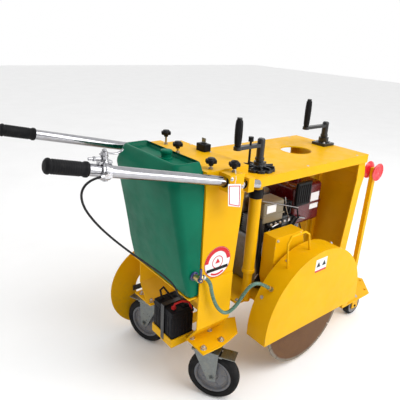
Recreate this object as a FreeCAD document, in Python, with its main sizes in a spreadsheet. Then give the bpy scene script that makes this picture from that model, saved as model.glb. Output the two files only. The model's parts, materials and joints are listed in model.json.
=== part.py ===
import FreeCAD, Part
import math
import os

doc = FreeCAD.newDocument("concrete_saw")
V = FreeCAD.Vector
Rot = FreeCAD.Rotation

# ---------------------------------------------------------------- spec sheet
sheet = doc.addObject("Spreadsheet::Sheet", "Spec")
used = {}


def num(alias, value):
    """Put one plain number on the sheet under a word alias."""
    if alias in used:
        return "Spec." + alias
    n = len(used) + 1
    used[alias] = value
    sheet.set("A%d" % n, alias)
    sheet.set("B%d" % n, "%.6g" % value)
    sheet.setAlias("B%d" % n, alias)
    return "Spec." + alias


# main sizes of the machine, millimetres
OX, OY = 241.858, 8.0            # shift to the centre of the footprint
ARCH_W = 190.0                 # half width over the rear legs
DECK_Z = 850.0                 # top face of the deck
ARCH_Z = 900.0                 # top face of the rear arch
SHEET_T = 5.0                  # folded sheet thickness
CASTER_R = 100.0               # rear caster wheel radius
BLADE_R = 222.0                # saw blade radius
TUBE_R = 16.0                  # handle tube outer radius
SLOPE = 13.2                   # handle tube slope, degrees
for a, v in (("arch_half_width", ARCH_W), ("deck_top_z", DECK_Z), ("arch_top_z", ARCH_Z),
             ("sheet_thickness", SHEET_T), ("caster_wheel_radius", CASTER_R),
             ("blade_radius", BLADE_R), ("handle_tube_radius", TUBE_R),
             ("handle_slope", SLOPE), ("origin_shift_x", OX), ("origin_shift_y", OY)):
    num(a, v)

count = [0]


def uid(prefix):
    count[0] += 1
    return "%s_%d" % (prefix, count[0])


def bind(obj, prop, alias, value):
    obj.setExpression(prop, num(alias, value))


def K(x, y, z):
    return V(x - OX, y - OY, z)


def place(obj, x, y, z, rot=None):
    obj.Placement = FreeCAD.Placement(K(x, y, z), rot if rot else Rot())
    return obj


def box(x0, x1, y0, y1, z0, z1, label=None):
    name = label if label else uid("block")
    o = doc.addObject("Part::Box", name)
    o.Label = name
    bind(o, "Length", name + "_length", x1 - x0)
    bind(o, "Width", name + "_width", y1 - y0)
    bind(o, "Height", name + "_height", z1 - z0)
    return place(o, x0, y0, z0)


def toward(d):
    return Rot(V(0, 0, 1), V(*d))


def cyl(p, d, r, h, label=None):
    """Cylinder from point p along direction d."""
    name = label if label else uid("round")
    o = doc.addObject("Part::Cylinder", name)
    o.Label = name
    bind(o, "Radius", name + "_radius", r)
    bind(o, "Height", name + "_long", h)
    return place(o, p[0], p[1], p[2], toward(d))


def cylx(x0, x1, y, z, r):
    return cyl((x0, y, z), (1, 0, 0), r, x1 - x0)


def cyly(x, y0, y1, z, r):
    return cyl((x, y0, z), (0, 1, 0), r, y1 - y0)


def cylz(x, y, z0, z1, r):
    return cyl((x, y, z0), (0, 0, 1), r, z1 - z0)


def ball(x, y, z, r):
    name = uid("ball")
    o = doc.addObject("Part::Sphere", name)
    o.Label = name
    bind(o, "Radius", name + "_radius", r)
    return place(o, x, y, z)


def fuse(objs, label=None):
    name = label if label else uid("joined")
    o = doc.addObject("Part::MultiFuse", name)
    o.Label = name
    o.Shapes = objs
    return o


def cut(base, tools, label=None):
    if len(tools) > 1:
        tools = [fuse(tools)]
    name = label if label else uid("cutout")
    o = doc.addObject("Part::Cut", name)
    o.Label = name
    o.Base = base
    o.Tool = tools[0]
    return o


def common(a, b):
    name = uid("shared")
    o = doc.addObject("Part::Common", name)
    o.Label = name
    o.Base = a
    o.Tool = b
    return o


def origin_plane(body, role):
    for f in body.Origin.OriginFeatures:
        if f.Role == role:
            return f
    return None


def sketch_loop(body, plane, pts, name):
    """Closed polyline sketch, every corner dimensioned from the sketch origin."""
    sk = body.newObject("Sketcher::SketchObject", name + "_sketch")
    sk.Label = name + "_sketch"
    sk.AttachmentSupport = [(origin_plane(body, plane), "")]
    sk.MapMode = "FlatFace"
    import Sketcher
    n = len(pts)
    geo = []
    for i in range(n):
        a, b = pts[i], pts[(i + 1) % n]
        geo.append(Part.LineSegment(V(a[0], a[1], 0), V(b[0], b[1], 0)))
    sk.addGeometry(geo, False)
    for i in range(n):
        sk.addConstraint(Sketcher.Constraint("Coincident", i, 2, (i + 1) % n, 1))
    for i in range(n):
        x, y = pts[i]
        if abs(x) < 1e-6:
            sk.addConstraint(Sketcher.Constraint("PointOnObject", i, 1, -2))
        else:
            k = sk.addConstraint(Sketcher.Constraint("DistanceX", -1, 1, i, 1, x))
            sk.setExpression("Constraints[%d]" % k, num("%s_u%s" % (name, "abcdefghijklmnopqrstuvwxyz"[i]), x))
        if abs(y) < 1e-6:
            sk.addConstraint(Sketcher.Constraint("PointOnObject", i, 1, -1))
        else:
            k = sk.addConstraint(Sketcher.Constraint("DistanceY", -1, 1, i, 1, y))
            sk.setExpression("Constraints[%d]" % k, num("%s_v%s" % (name, "abcdefghijklmnopqrstuvwxyz"[i]), y))
    return sk


def pad(pts, plane, start, length, label=None, rot=None, at=None):
    """Pad a closed outline.  plane XZ: pts are (x, z) and the pad runs from
    y = start to y = start - length.  plane XY: pts are (x, y), z = start up.
    plane YZ: pts are (y, z), x = start onward."""
    name = label if label else uid("pad")
    u0 = min(p[0] for p in pts)
    v0 = min(p[1] for p in pts)
    loc = [(round(p[0] - u0, 6), round(p[1] - v0, 6)) for p in pts]
    body = doc.addObject("PartDesign::Body", name)
    body.Label = name
    sk = sketch_loop(body, plane + "_Plane", loc, name)
    f = body.newObject("PartDesign::Pad", name + "_pad")
    f.Profile = sk
    bind(f, "Length", name + "_depth", length)
    sk.Visibility = False
    body.Tip = f
    if plane == "XZ":
        p = (u0, start, v0)
    elif plane == "XY":
        p = (u0, v0, start)
    else:
        p = (start, u0, v0)
    if rot is None:
        place(body, *p)
    else:
        # p is given in a local frame turned by rot about the point at
        base = K(*at) + rot.multVec(V(*p))
        body.Placement = FreeCAD.Placement(base, rot)
    return body


def rev(prof, p, d, label=None):
    """Turned body: prof is (radius, height) points, height measured from p along d."""
    name = label if label else uid("turned")
    v0 = min(q[1] for q in prof)
    loc = [(round(q[0], 6), round(q[1] - v0, 6)) for q in prof]
    body = doc.addObject("PartDesign::Body", name)
    body.Label = name
    sk = sketch_loop(body, "XZ_Plane", loc, name)
    f = body.newObject("PartDesign::Revolution", name + "_rev")
    f.Profile = sk
    f.ReferenceAxis = (sk, ["V_Axis"])
    bind(f, "Angle", "full_turn", 360.0)
    sk.Visibility = False
    body.Tip = f
    r = toward(d)
    base = K(*p) + r.multVec(V(0, 0, v0))
    body.Placement = FreeCAD.Placement(base, r)
    return body


def fillet(base, radius, pick, label=None):
    doc.recompute()
    name = label if label else uid("rounded")
    o = doc.addObject("Part::Fillet", name)
    o.Label = name
    o.Base = base
    num(name + "_round", radius)
    es = []
    for i, e in enumerate(base.Shape.Edges):
        if pick(e):
            es.append((i + 1, radius, radius))
    o.Edges = es
    return o


def rod(path, r, closed=False):
    """Round bar along a path, ball jointed at the corners."""
    out = []
    for i in range(len(path) - 1):
        a, b = path[i], path[i + 1]
        d = (b[0] - a[0], b[1] - a[1], b[2] - a[2])
        out.append(cyl(a, d, r, math.sqrt(d[0] ** 2 + d[1] ** 2 + d[2] ** 2)))
        if i:
            out.append(ball(a[0], a[1], a[2], r))
    return out


nodes = {}


def node(name, obj):
    obj.Label = name
    nodes[name] = obj
    return obj


# ---------------------------------------------------------------- rear arch
def handle_z(x):
    return 865.3 - math.tan(math.radians(SLOPE)) * x


HX, HZ = math.cos(math.radians(SLOPE)), -math.sin(math.radians(SLOPE))
HY = 216.0
tubes = [cyl((-200, s * HY, handle_z(-200)), (HX, 0, HZ), TUBE_R + 0.08, 420) for s in (-1, 1)]
arch = [box(-75, 100, -ARCH_W, ARCH_W, ARCH_Z - SHEET_T, ARCH_Z),
        box(95, 100, -ARCH_W, ARCH_W, 845, 896),
        box(-75, -70, -ARCH_W, ARCH_W, 862, 896)]
for s in (-1, 1):
    ya = -ARCH_W + SHEET_T if s < 0 else ARCH_W
    arch.append(pad([(-75, 420), (62, 420), (100, 897), (-75, 897)], "XZ", ya, SHEET_T))
    yb = -160 if s < 0 else 186
    arch.append(pad([(57, 420), (62, 420), (100, 896), (95, 896)], "XZ", yb, 26))
    arch.append(box(-75, -70, -186 if s < 0 else 160, -160 if s < 0 else 186, 420, 864))
    y0, y1 = (-240, -ARCH_W) if s < 0 else (ARCH_W, 240)
    arch.append(box(-24, 36, y0, y1, 838, 896))
    arch.append(box(58, 84, y0, y1, 826, 874))
arch.append(box(-118, -60, -185, 185, 450, 455))
knob_at = {"arch_knob_a": (10, 165), "arch_knob_b": (-22, 43), "arch_knob_c": (-41, -165)}
holes = [cylz(x, y, 880, 910, 4.05) for x, y in knob_at.values()]
holes.append(cylz(12, -HY, 881, 900, 4.05))
node("rear_arch", cut(fuse(arch), tubes + holes, "rear_arch"))

# ------------------------------------------------------------- caster brackets
SW_X, SW_Y, TRAIL = -20.0, 176.0, 37.0
outline = [(-80, 120), (-83, 236), (2, 238), (58, 226), (101, 214), (158, 136), (100, 114), (-25, 114)]
for s, side in ((-1, "right"), (1, "left")):
    prof = [(190, 510), (195, 510), (195, 320), (141, 246), (135, 246), (190, 321.4)]
    prof = [(s * a, b) for a, b in prof]
    if s < 0:
        prof = prof[::-1]
    face = pad(prof, "YZ", -84, 150)
    plate_pts = [(a, s * b) for a, b in outline]
    if s > 0:
        plate_pts = plate_pts[::-1]
    plate = pad(plate_pts, "XY", 240, 6)
    race = cylz(SW_X, s * SW_Y, 236.3, 240.5, 42)
    king = cylz(SW_X, s * SW_Y, 208, 240.5, 8)
    bolts = [cylz(x, s * y, 245.5, 253, 8) for x in (20, -62) for y in (141, 211)]
    node("caster_bracket_" + side, fuse([face, plate, race, king] + bolts, "caster_bracket_" + side))

# ------------------------------------------------------------------ base frame
base = [box(60, 101, -134, 134, 246, 286),
        box(100, 140, 95, 146, 246, 286),
        box(100, 764, 145, 185, 246, 286),
        box(200, 236, 147, 153, 140, 286),
        box(200, 236, 106, 153, 140, 150),
        box(-29, 100, -62, -22, 234, 246.5),
        cut(box(-130, -26, -107, 23, 206, 240), [box(-126.5, -29.5, -103.5, 19.5, 209, 250)])]
node("base_frame", fuse(base, "base_frame"))

# ---------------------------------------------------------------------- deck
CR = (218.0, -125.0)          # rear crank axis
CF = (765.0, 10.0)            # front crank axis
deck = [box(100, 806, -200, 200, DECK_Z - SHEET_T, DECK_Z),
        box(100, 806, -200, -195, 814, 846),
        box(100, 806, 195, 200, 814, 846),
        cylz(CR[0], CR[1], 430, 846, 23)]
deck_holes = [cylz(568, 0, 840, 860, 65),
              cylz(CR[0], CR[1], 844, 860, 10.6), cylz(CR[0], CR[1], 425, 845, 18.05),
              cylz(CF[0], CF[1], 840, 860, 10.6), cylz(218, 125, 840, 846, 12.5)]
node("top_deck", cut(fuse(deck), deck_holes, "top_deck"))

# ---------------------------------------------------------------- front panel
outer = [(803, 845), (822, 748), (807, 689), (781, 376), (766, 190)]
inner = [(761, 190), (776, 376), (802, 689), (817, 748), (798, 845)]
panel = pad(outer + inner, "XZ", ARCH_W, 2 * ARCH_W)
opening = box(740, 840, -140, 140, 180, 330)
front = [cut(panel, [opening])]
flange = [(803, 845), (822, 748), (807, 689), (781, 376), (766, 190), (716, 190), (732, 411), (767, 738), (760, 845)]
for s in (-1, 1):
    front.append(pad(flange, "XZ", -ARCH_W + SHEET_T if s < 0 else ARCH_W, SHEET_T))
front.append(cylz(CF[0], CF[1], 330, 845, 22))
node("front_panel", cut(fuse(front), [cylz(CF[0], CF[1], 300, 850, 17.05)], "front_panel"))

node("guide_post", cylz(218, 125, 150, 845.5, 12.5))

# ----------------------------------------------------------------------- tank
shell = pad([(-79, 456), (-118, 456), (-143, 560), (-200, 862), (-170, 925), (-79, 921)], "XZ", 185, 370)
shell = fillet(shell, 16, lambda e: True)
hollow = pad([(-83, 460), (-115, 460), (-139, 561), (-195, 861), (-167, 920), (-83, 916)], "XZ", 181, 362)
hollow = fillet(hollow, 12, lambda e: True)
neck = cylz(-112, -20, 915, 930.5, 15)
tank = cut(fuse([shell, neck]), [hollow, cylz(-112, -20, 910, 940, 12), cyly(-104, -190, -170, 545, 6)], "water_tank")
node("water_tank", tank)
node("tank_cap", cut(cylz(-112, -20, 926, 938, 20), [cylz(-112, -20, 920, 931, 15.3)], "tank_cap"))

tap = fuse([cyly(-104, -218, -185, 545, 10), cylx(-104, -86, -208, 545, 7.5), cyly(-104, -226, -217.9, 545, 3)], "tap_body")
node("tap_body", tap)
lev = fuse([cyly(-104, -225, -218.3, 545, 8), box(-107.5, -100.5, -225, -221, 545, 588)])
node("tap_lever", cut(lev, [cyly(-104, -230, -210, 545, 3.05)], "tap_lever"))

bat = fuse([box(-125, -31, -102, 18, 209, 352), box(-127, -29, -104, 20, 330, 340),
            cylz(-106, -84, 351, 360, 7), cylz(-106, -2, 351, 360, 7),
            box(-71, -41, -92, 8, 351, 356)], "battery")
node("battery", bat)

# ------------------------------------------------------------------ side disc
disc = rev([(80, 0), (203, 0), (203, 4), (80, 4)], (50, 322, 208), (0, 1, 0), "side_disc")
node("side_disc", disc)
node("disc_bracket", fuse([box(-45, 145, 317.5, 322, 196, 220), box(38, 62, 317.5, 322, 115, 385),
                           box(35, 65, 195, 322, 361, 385)], "disc_bracket"))

node("switch_box", cut(box(66, 96, 4, 50, 900, 926), [cylz(81, 27, 915, 930, 6.05)], "switch_box"))
key = fuse([cylz(81, 27, 916, 931, 6), box(79.5, 82.5, 17, 37, 930.5, 946)], "ignition_key")
node("ignition_key", key)

# --------------------------------------------------------------------- cranks
index = [cylz(CR[0], CR[1], 850, 858, 60), cylz(CR[0], CR[1], 857.5, 880, 20)]
notch = [cylz(CR[0] + 52 * math.cos(math.radians(a)), CR[1] + 52 * math.sin(math.radians(a)), 845, 860, 5)
         for a in range(0, 360, 30)]
node("crank_base_rear", cut(fuse(index), notch + [cylz(CR[0], CR[1], 845, 885, 10.06)], "crank_base_rear"))
node("crank_base_front", cut(fuse([box(730, 800, -25, 45, 850, 862), cylz(CF[0], CF[1], 861, 885, 22)]),
                             [cylz(CF[0], CF[1], 845, 890, 10.06)], "crank_base_front"))


def crank(cx, cy, z_hub, z_top, z_arm, reach, grip0, grip1, screw_z, name, extra):
    parts = [cylz(cx, cy, 840, z_top, 10), cylz(cx, cy, z_hub + 0.4, z_top, 14),
             box(cx - reach, cx, cy - 10, cy + 10, z_arm, z_arm + 12),
             cylz(cx - reach, cy, z_arm, z_arm + 12, 14),
             cylz(cx - reach, cy, z_arm + 11, grip1 + 3, 6),
             cylz(cx - reach, cy, grip1 + 0.4, grip1 + 4, 9),
             cylz(cx, cy, screw_z, 841, 8)]
    body = fuse(parts)
    if extra:
        body = cut(body, extra)
    node(name, body)
    g = rev([(6.06, 0), (11, 0), (12, 8), (13, 45), (12, grip1 - grip0 - 6), (9.5, grip1 - grip0), (6.06, grip1 - grip0)],
            (cx - reach, cy, grip0), (0, 0, 1))
    return g


g1 = crank(CR[0], CR[1], 880, 958, 934, 113, 946.5, 1040, 470, "crank_rear", [cylz(CR[0] - 52, CR[1], 925, 955, 4.06)])
node("crank_grip_rear", g1)
g2 = crank(CF[0], CF[1], 885, 949, 932, 137, 944.5, 1056, 540, "crank_front", [])
node("crank_grip_front", g2)
node("lock_plunger", fuse([cylz(CR[0] - 52, CR[1], 859, 962, 4), cylz(CR[0] - 52, CR[1], 958, 974, 9)], "lock_plunger"))

# ---------------------------------------------------------------------- knobs
head = [(0, 0), (9, 0), (15, 4), (16, 10), (13, 17), (0, 20)]
lift = {"arch_knob_a": 30, "arch_knob_b": 17, "arch_knob_c": 12}
for k, (x, y) in knob_at.items():
    z = 900 + lift[k]
    node(k, fuse([cylz(x, y, 890, z + 8, 4), rev(head, (x, y, z), (0, 0, 1)), cylz(x, y, 900.4, 904, 8)], k))
node("clamp_knob", fuse([cylz(12, -HY, 883, 915, 4), rev(head, (12, -HY, 908), (0, 0, 1)),
                         cylz(12, -HY, 896.4, 900, 8)], "clamp_knob"))


# -------------------------------------------------------------------- handles
def along(x, y):
    return (x, y, handle_z(x))


for s, side, xr in ((-1, "right", -578.0), (1, "left", -560.0)):
    L = (125 - (xr + 8)) / HX
    t = cut(cyl(along(xr + 8, s * HY), (HX, 0, HZ), TUBE_R, L),
            [cyl(along(xr, s * HY), (HX, 0, HZ), TUBE_R - 2.5, L + 30)])
    if s < 0:
        ring = cyl(along(-442, -HY), (HX, 0, HZ), 22, 26)
        ring_bore = cyl(along(-450, -HY), (HX, 0, HZ), TUBE_R - 0.5, 50)
        post = cylz(-428, -HY, handle_z(-428) + 18, 1006, 7)
        foot = cylz(-428, -HY, 940, handle_z(-428) - 18, 7)
        t = fuse([t, cut(ring, [ring_bore]), post, foot, cylz(-428, -HY, 1005, 1018, 3)])
    node("handle_tube_" + side, t)
    gl = 104 / HX
    g = rev([(TUBE_R + 0.02, 8), (TUBE_R + 0.02, gl), (20, gl), (20, gl - 5), (18.5, gl - 9), (18.5, 10), (17, 2),
             (10, 0), (0, 0), (0, 8)], along(xr, s * HY), (HX, 0, HZ))
    node("handle_grip_" + side, g)
lever = fuse([cylz(-428, -HY, 1006.4, 1016, 9), box(-428, -386, -HY - 3.5, -HY + 3.5, 1008, 1014),
              ball(-384, -HY, 1011, 8)])
node("throttle_lever", cut(lever, [cylz(-428, -HY, 1000, 1020, 3.06)], "throttle_lever"))


# ---------------------------------------------------------------------- cords
def cord(name, pts, dia):
    P = [K(*p) for p in pts]
    n = len(P)
    runs = [(P[i + 1] - P[i]).Length for i in range(n - 1)]
    start = P[0]
    edges = []
    radii = []
    for i in range(1, n - 1):
        a = (P[i - 1] - P[i]).normalize()
        b = (P[i + 1] - P[i]).normalize()
        turn = math.pi - a.getAngle(b)
        if turn < 1e-4:
            raise ValueError("%s: straight corner %d" % (name, i))
        setback = 0.45 * min(runs[i - 1], runs[i])
        radius = setback / math.tan(turn / 2)
        radii.append(radius)
        t0 = P[i] + a * setback
        t1 = P[i] + b * setback
        bis = (a + b).normalize()
        centre = P[i] + bis * (setback / math.cos(math.atan2(radius, setback)))
        # centre sits on the bisector at the corner distance of the arc
        dist = radius / math.cos(turn / 2)
        centre = P[i] + bis * dist
        mid = centre - bis * radius
        if (t0 - start).Length > 1e-6:
            edges.append(Part.LineSegment(start, t0).toShape())
        edges.append(Part.Arc(t0, mid, t1).toShape())
        start = t1
    edges.append(Part.LineSegment(start, P[-1]).toShape())
    wire = Part.Wire(edges)
    spine = doc.addObject("Part::Feature", name + "_path")
    spine.Shape = wire
    spine.Label = name + "_path"
    circ = doc.addObject("Part::Circle", name + "_section")
    circ.Label = name + "_section"
    bind(circ, "Radius", name + "_radius", dia / 2.0)
    d = P[1] - P[0]
    circ.Placement = FreeCAD.Placement(P[0], Rot(V(0, 0, 1), d))
    sw = doc.addObject("Part::Sweep", name)
    sw.Label = name
    sw.Sections = [circ]
    sw.Spine = (spine, ["Edge%d" % (i + 1) for i in range(len(edges))])
    sw.Solid = True
    sw.Transition = "Transformed"
    print(name, "length %.1f" % wire.Length, "tightest radius %.1f" % min(radii))
    nodes[name] = sw
    return wire.Length


CABLE = [(-450, -241, 961), (-479, -243, 960), (-504, -240, 934), (-496, -231, 890), (-462, -218, 836),
         (-418, -208, 782), (-368, -198, 728), (-313, -187, 672), (-256, -176, 617), (-202, -166, 563),
         (-156, -154, 506), (-128, -142, 446), (-97, -133, 419), (-66, -126, 424), (-52, -122, 445)]
HOSE = [(-82, -208, 544), (-54, -213, 526), (-44, -216, 465), (-20, -222, 404), (16, -230, 371),
        (53, -239, 395), (76, -247, 440), (98, -256, 474), (128, -262, 479), (165, -264, 456), (200, -264, 429)]
cable_len = cord("throttle_cable", CABLE, 6.0)
hose_len = cord("water_hose", HOSE, 13.0)

# ------------------------------------------------------------------- casters
for s, side, ang in ((-1, "right", -57.2), (1, "left", 110.0)):
    at = (SW_X, s * SW_Y, 0)
    rz = Rot(V(0, 0, 1), ang)
    ca, sa = math.cos(math.radians(ang)), math.sin(math.radians(ang))

    def W(u, v, z):
        return (SW_X + u * ca - v * sa, s * SW_Y + u * sa + v * ca, z)

    def lbox(u0, u1, v0, v1, z0, z1):
        o = box(u0, u1, v0, v1, z0, z1)
        o.Placement = FreeCAD.Placement(K(*W(u0, v0, z0)), rz)
        return o

    ydir = (-sa, ca, 0)
    legpts = [(-40, 212), (58, 212), (52, 86), (22, 86)]
    legs = []
    for v_hi in (31, -27):
        legs.append(pad(legpts, "XZ", v_hi, 4, rot=rz, at=at))
    fork = fuse([lbox(-46, 58, -31, 31, 206, 213)] + legs +
                [cylz(SW_X, s * SW_Y, 212, 236, 38), cyl(W(TRAIL, -34, 100), ydir, 6, 68)])
    fork = cut(fork, [cylz(SW_X, s * SW_Y, 200, 240, 8.06), cyl(W(50, -32, 198.5), ydir, 3.06, 64)])
    node("caster_fork_" + side, fork)
    R = CASTER_R
    tyre = rev([(72, -21), (86, -22), (95, -19), (R - 1, -11), (R, 0), (R - 1, 11), (95, 19), (86, 22), (72, 21)],
               W(TRAIL, 0, 100), ydir)
    node("caster_tyre_" + side, tyre)
    hub = rev([(6.06, -25), (16, -25), (20, -12), (60, -10), (64, -18), (72, -18), (72, 18), (64, 18), (60, 10),
               (20, 12), (16, 25), (6.06, 25)], W(TRAIL, 0, 100), ydir)
    node("caster_hub_" + side, hub)
    pedal = fuse([lbox(64, 118, -26.2, 26.2, 199, 202.5), lbox(45, 70, 23.2, 26.2, 194.5, 202.5),
                  lbox(45, 70, -26.2, -23.2, 194.5, 202.5),
                  cyl(W(50, 24, 198.5), ydir, 3, 6.8), cyl(W(50, -30.8, 198.5), ydir, 3, 6.8)], "brake_pedal_" + side)
    node("brake_pedal_" + side, pedal)

# --------------------------------------------------------------- saw carriage
AX, AZ, BY = 425.0, 240.0, -275.0       # arbor axis, blade plane
EX, EZ = 350.0, 500.0                   # engine shaft axis
plat = [box(162, 700, -135, 138, 300, 308), box(162, 700, 108, 113, 308, 330), box(695, 700, -135, 113, 308, 330),
        cylz(CR[0], CR[1], 300, 640, 18), cylz(218, 125, 286, 348, 19),
        cyly(AX, -142, -40, AZ, 34), box(398, 452, -134, -45, 262, 301)]
plat_cuts = [cylz(CR[0], CR[1], 295, 612, 11), cylz(CR[0], CR[1], 600, 650, 8.06),
             cylz(218, 125, 280, 352, 12.56), cyly(AX, -150, -30, AZ, 17.56)]
node("engine_platform", cut(fuse(plat), plat_cuts, "engine_platform"))

case = fillet(box(300, 520, -110, 70, 308, 522), 14,
              lambda e: abs(e.Vertexes[0].X - e.Vertexes[-1].X) > 1 or abs(e.Vertexes[0].Y - e.Vertexes[-1].Y) > 1 or True)
fins = [box(318, 470, -104, 34, z, z + 4) for z in range(526, 598, 10)]
blockp = [case, box(330, 458, -90, 20, 515, 604), box(466, 566, -70, 60, 505, 539), box(300, 560, -96, -76, 300 + 8, 326),
          box(300, 560, 40, 60, 308, 326)] + fins
blockp += [box(x, x + 5, -116, -106, 340, 500) for x in range(390, 500, 18)]
node("engine_block", cut(fuse(blockp), [cyly(EX, -130, -80, EZ, 12.56)], "engine_block"))
node("engine_cover", fuse([rev([(0, 0), (92, 0), (92, 30), (70, 44), (30, 50), (0, 50)], (400, 70, 420), (0, 1, 0)),
                           box(310, 488, 70, 90, 400, 590)], "engine_cover"))
ft = fillet(box(490, 676, -88, 92, 539, 720), 18, lambda e: True)
node("engine_fuel_tank", fuse([ft, cylz(585, 0, 718, 736, 26)], "engine_fuel_tank"))
af = fillet(box(286, 404, -112, -30, 604, 696), 10, lambda e: True)
node("air_filter", fuse([af, box(284, 406, -114, -28, 636, 642), box(330, 380, -32, 10, 604, 640)], "air_filter"))
mf = fillet(box(300, 470, 20, 100, 604, 690), 20, lambda e: True)
node("muffler", fuse([mf, cyl((300, 60, 650), (-1, 0, 0), 14, 50)], "muffler"))

ep = rev([(0, 0), (66, 0), (66, 4), (58, 6), (58, 30), (66, 32), (66, 36), (0, 36)], (EX, -186, EZ), (0, 1, 0))
node("engine_pulley", fuse([ep, cyly(EX, -151, -85, EZ, 12.5), cyly(EX, -190, -186, EZ, 18)], "engine_pulley"))
arb = [rev([(0, 0), (60, 0), (60, 4), (53, 6), (53, 30), (60, 32), (60, 36), (0, 36)], (AX, -186, AZ), (0, 1, 0)),
       cyly(AX, -299, -32, AZ, 17.5), cyly(AX, -273, -262, AZ, 50), cyly(AX, -288, -277, AZ, 50)]
hexpts = [(AX + 26 * math.cos(math.radians(a)), AZ + 26 * math.sin(math.radians(a))) for a in range(0, 360, 60)]
arb.append(pad(hexpts, "XZ", -288, 14))
node("arbor", fuse(arb, "arbor"))

dx, dz = AX - EX, AZ - EZ
dd = math.sqrt(dx * dx + dz * dz)
belt_parts = []
for re_, ra_ in ((67.2, 62.2), (58.2, 53.2)):
    sn = (re_ - ra_) / dd
    th = math.acos(sn)
    bx = math.atan2(dz, dx)
    pts = []
    for sgn in (1, -1):
        q = (EX + re_ * math.cos(bx + sgn * th), EZ + re_ * math.sin(bx + sgn * th))
        w = (AX + ra_ * math.cos(bx + sgn * th), AZ + ra_ * math.sin(bx + sgn * th))
        pts += [q, w] if sgn > 0 else [w, q]
    big = re_ > 60
    y_hi, ln = (-156, 24) if big else (-150, 40)
    hull = fuse([pad(pts, "XZ", y_hi, ln), cyl((EX, y_hi, EZ), (0, -1, 0), re_, ln), cyl((AX, y_hi, AZ), (0, -1, 0), ra_, ln)])
    belt_parts.append(hull)
node("drive_belt", cut(belt_parts[0], [belt_parts[1]], "drive_belt"))

slots = []
for i in range(18):
    a = math.radians(i * 20 + 5)
    o = box(BLADE_R - 16, BLADE_R + 6, -1.5, 1.5, -6, 6)
    c = V(AX - OX, BY - OY, AZ)
    rr = Rot(V(0, 1, 0), -math.degrees(a)).multiply(Rot(V(1, 0, 0), 90))
    o.Placement = FreeCAD.Placement(c + rr.multVec(V(BLADE_R - 16, -1.5, -6)), rr)
    slots.append(o)
blade = cut(rev([(17.52, -2), (BLADE_R - 10, -2), (BLADE_R - 10, -2.3), (BLADE_R, -2.3), (BLADE_R, 2.3), (BLADE_R - 10, 2.3),
                 (BLADE_R - 10, 2), (17.52, 2)], (AX, BY, AZ), (0, 1, 0)), slots, "saw_blade")
node("saw_blade", blade)

bg_out = [(273, 588), (430, 588), (496, 300), (496, 170), (355, 170), (273, 400)]
bg_in = [(276, 585), (427.6, 585), (493, 299.6), (493, 173), (357, 173), (276, 399.4)]
bg = cut(pad(bg_out, "XZ", -136, 64), [pad(bg_in, "XZ", -130, 67), cyly(AX, -210, -190, AZ, 24)], "belt_guard")
node("belt_guard", bg)


def dee(r, x0, x1, z0, ya, yb, zc=250.0):
    half = common(cyly(440, ya, yb, zc, r), box(100, 780, ya - 1, yb + 1, zc, zc + 320))
    return fuse([half, box(x0, x1, ya, yb, z0, zc + 0.5)])


gout = dee(290, 150, 730, 218, -310, -215)
gin = dee(287, 153, 727, 210, -307, -218)
bail = rod([(282, -264, 489), (266, -264, 594), (282, -264, 622), (360, -264, 622), (384, -264, 606), (400, -264, 534)], 4)
node("guard_bail", cut(fuse(bail), [cyly(440, -320, -200, 250, 290)], "guard_bail"))
guard = cut(fuse([gout] + [box(512, 572, -218, -135, 300, 308), box(242, 270, -218, -135, 300, 308)]),
            [gin, cyly(AX, -222, -210, AZ, 56)], "blade_guard")
node("blade_guard", guard)

# -------------------------------------------------------------- front carriage
fp = [(745, 118), (745, 250), (969, 250), (1064, 152), (1045, 118)]
fc = [box(745, 785, -250, 250, 129.5, 170), cylz(CF[0], CF[1], 165, 620, 17)]
fcut = [cylz(CF[0], CF[1], 160, 596, 11), cylz(CF[0], CF[1], 590, 630, 8.06)]
WX, WR = 922.0, 52.0
for s in (-1, 1):
    pp = [(a, s * b) for a, b in fp]
    if s > 0:
        pp = pp[::-1]
    fc.append(pad(pp, "XY", 122, 8))
    fc += [box(900, 944, s * 192 - 22.5, s * 192 - 18, 38, 122.5), box(900, 944, s * 192 + 18, s * 192 + 22.5, 38, 122.5)]
    fcut += [cyly(WX, s * 192 - 30, s * 192 + 30, WR, 6.06), cylz(1034, s * 156, 118, 135, 7), cylz(975, s * 220, 118, 135, 7)]
GX, GY, GZ, GT = 880.0, -195.0, 180.0, 763.0
fc += [box(866, 894, -213, -208, 129.5, 194), box(866, 894, -182, -177, 129.5, 194)]
fcut.append(cyly(GX, -220, -170, GZ, 6.06))
node("front_carriage", cut(fuse(fc), fcut, "front_carriage"))
for s, side in ((-1, "right"), (1, "left")):
    w = rev([(0, -17.5), (30, -16), (WR - 5, -16), (WR, -10), (WR, 10), (WR - 5, 16), (30, 16), (0, 17.5)],
            (WX, s * 192, WR), (0, 1, 0))
    node("front_wheel_" + side, fuse([w, cyly(WX, s * 192 - 26, s * 192 + 26, WR, 6)], "front_wheel_" + side))
arm = fuse([box(GX - 10, GX + 10, GY - 10, GY + 10, 169, 778), cyly(GX, -216, -174, GZ, 6)])
node("guide_arm", cut(arm, [cyly(GX, -220, -170, GT, 6.06)], "guide_arm"))
gw = [rev([(0, 0), (22, 0), (40, 5), (40, 10), (20, 7), (0, 7)], (GX, -207, GT), (0, -1, 0)),
      rev([(0, 0), (22, 0), (40, 5), (40, 10), (20, 7), (0, 7)], (GX, -183, GT), (0, 1, 0)),
      cyly(GX, -217, -173, GT, 6)]
node("guide_wheels", fuse(gw, "guide_wheels"))

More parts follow.
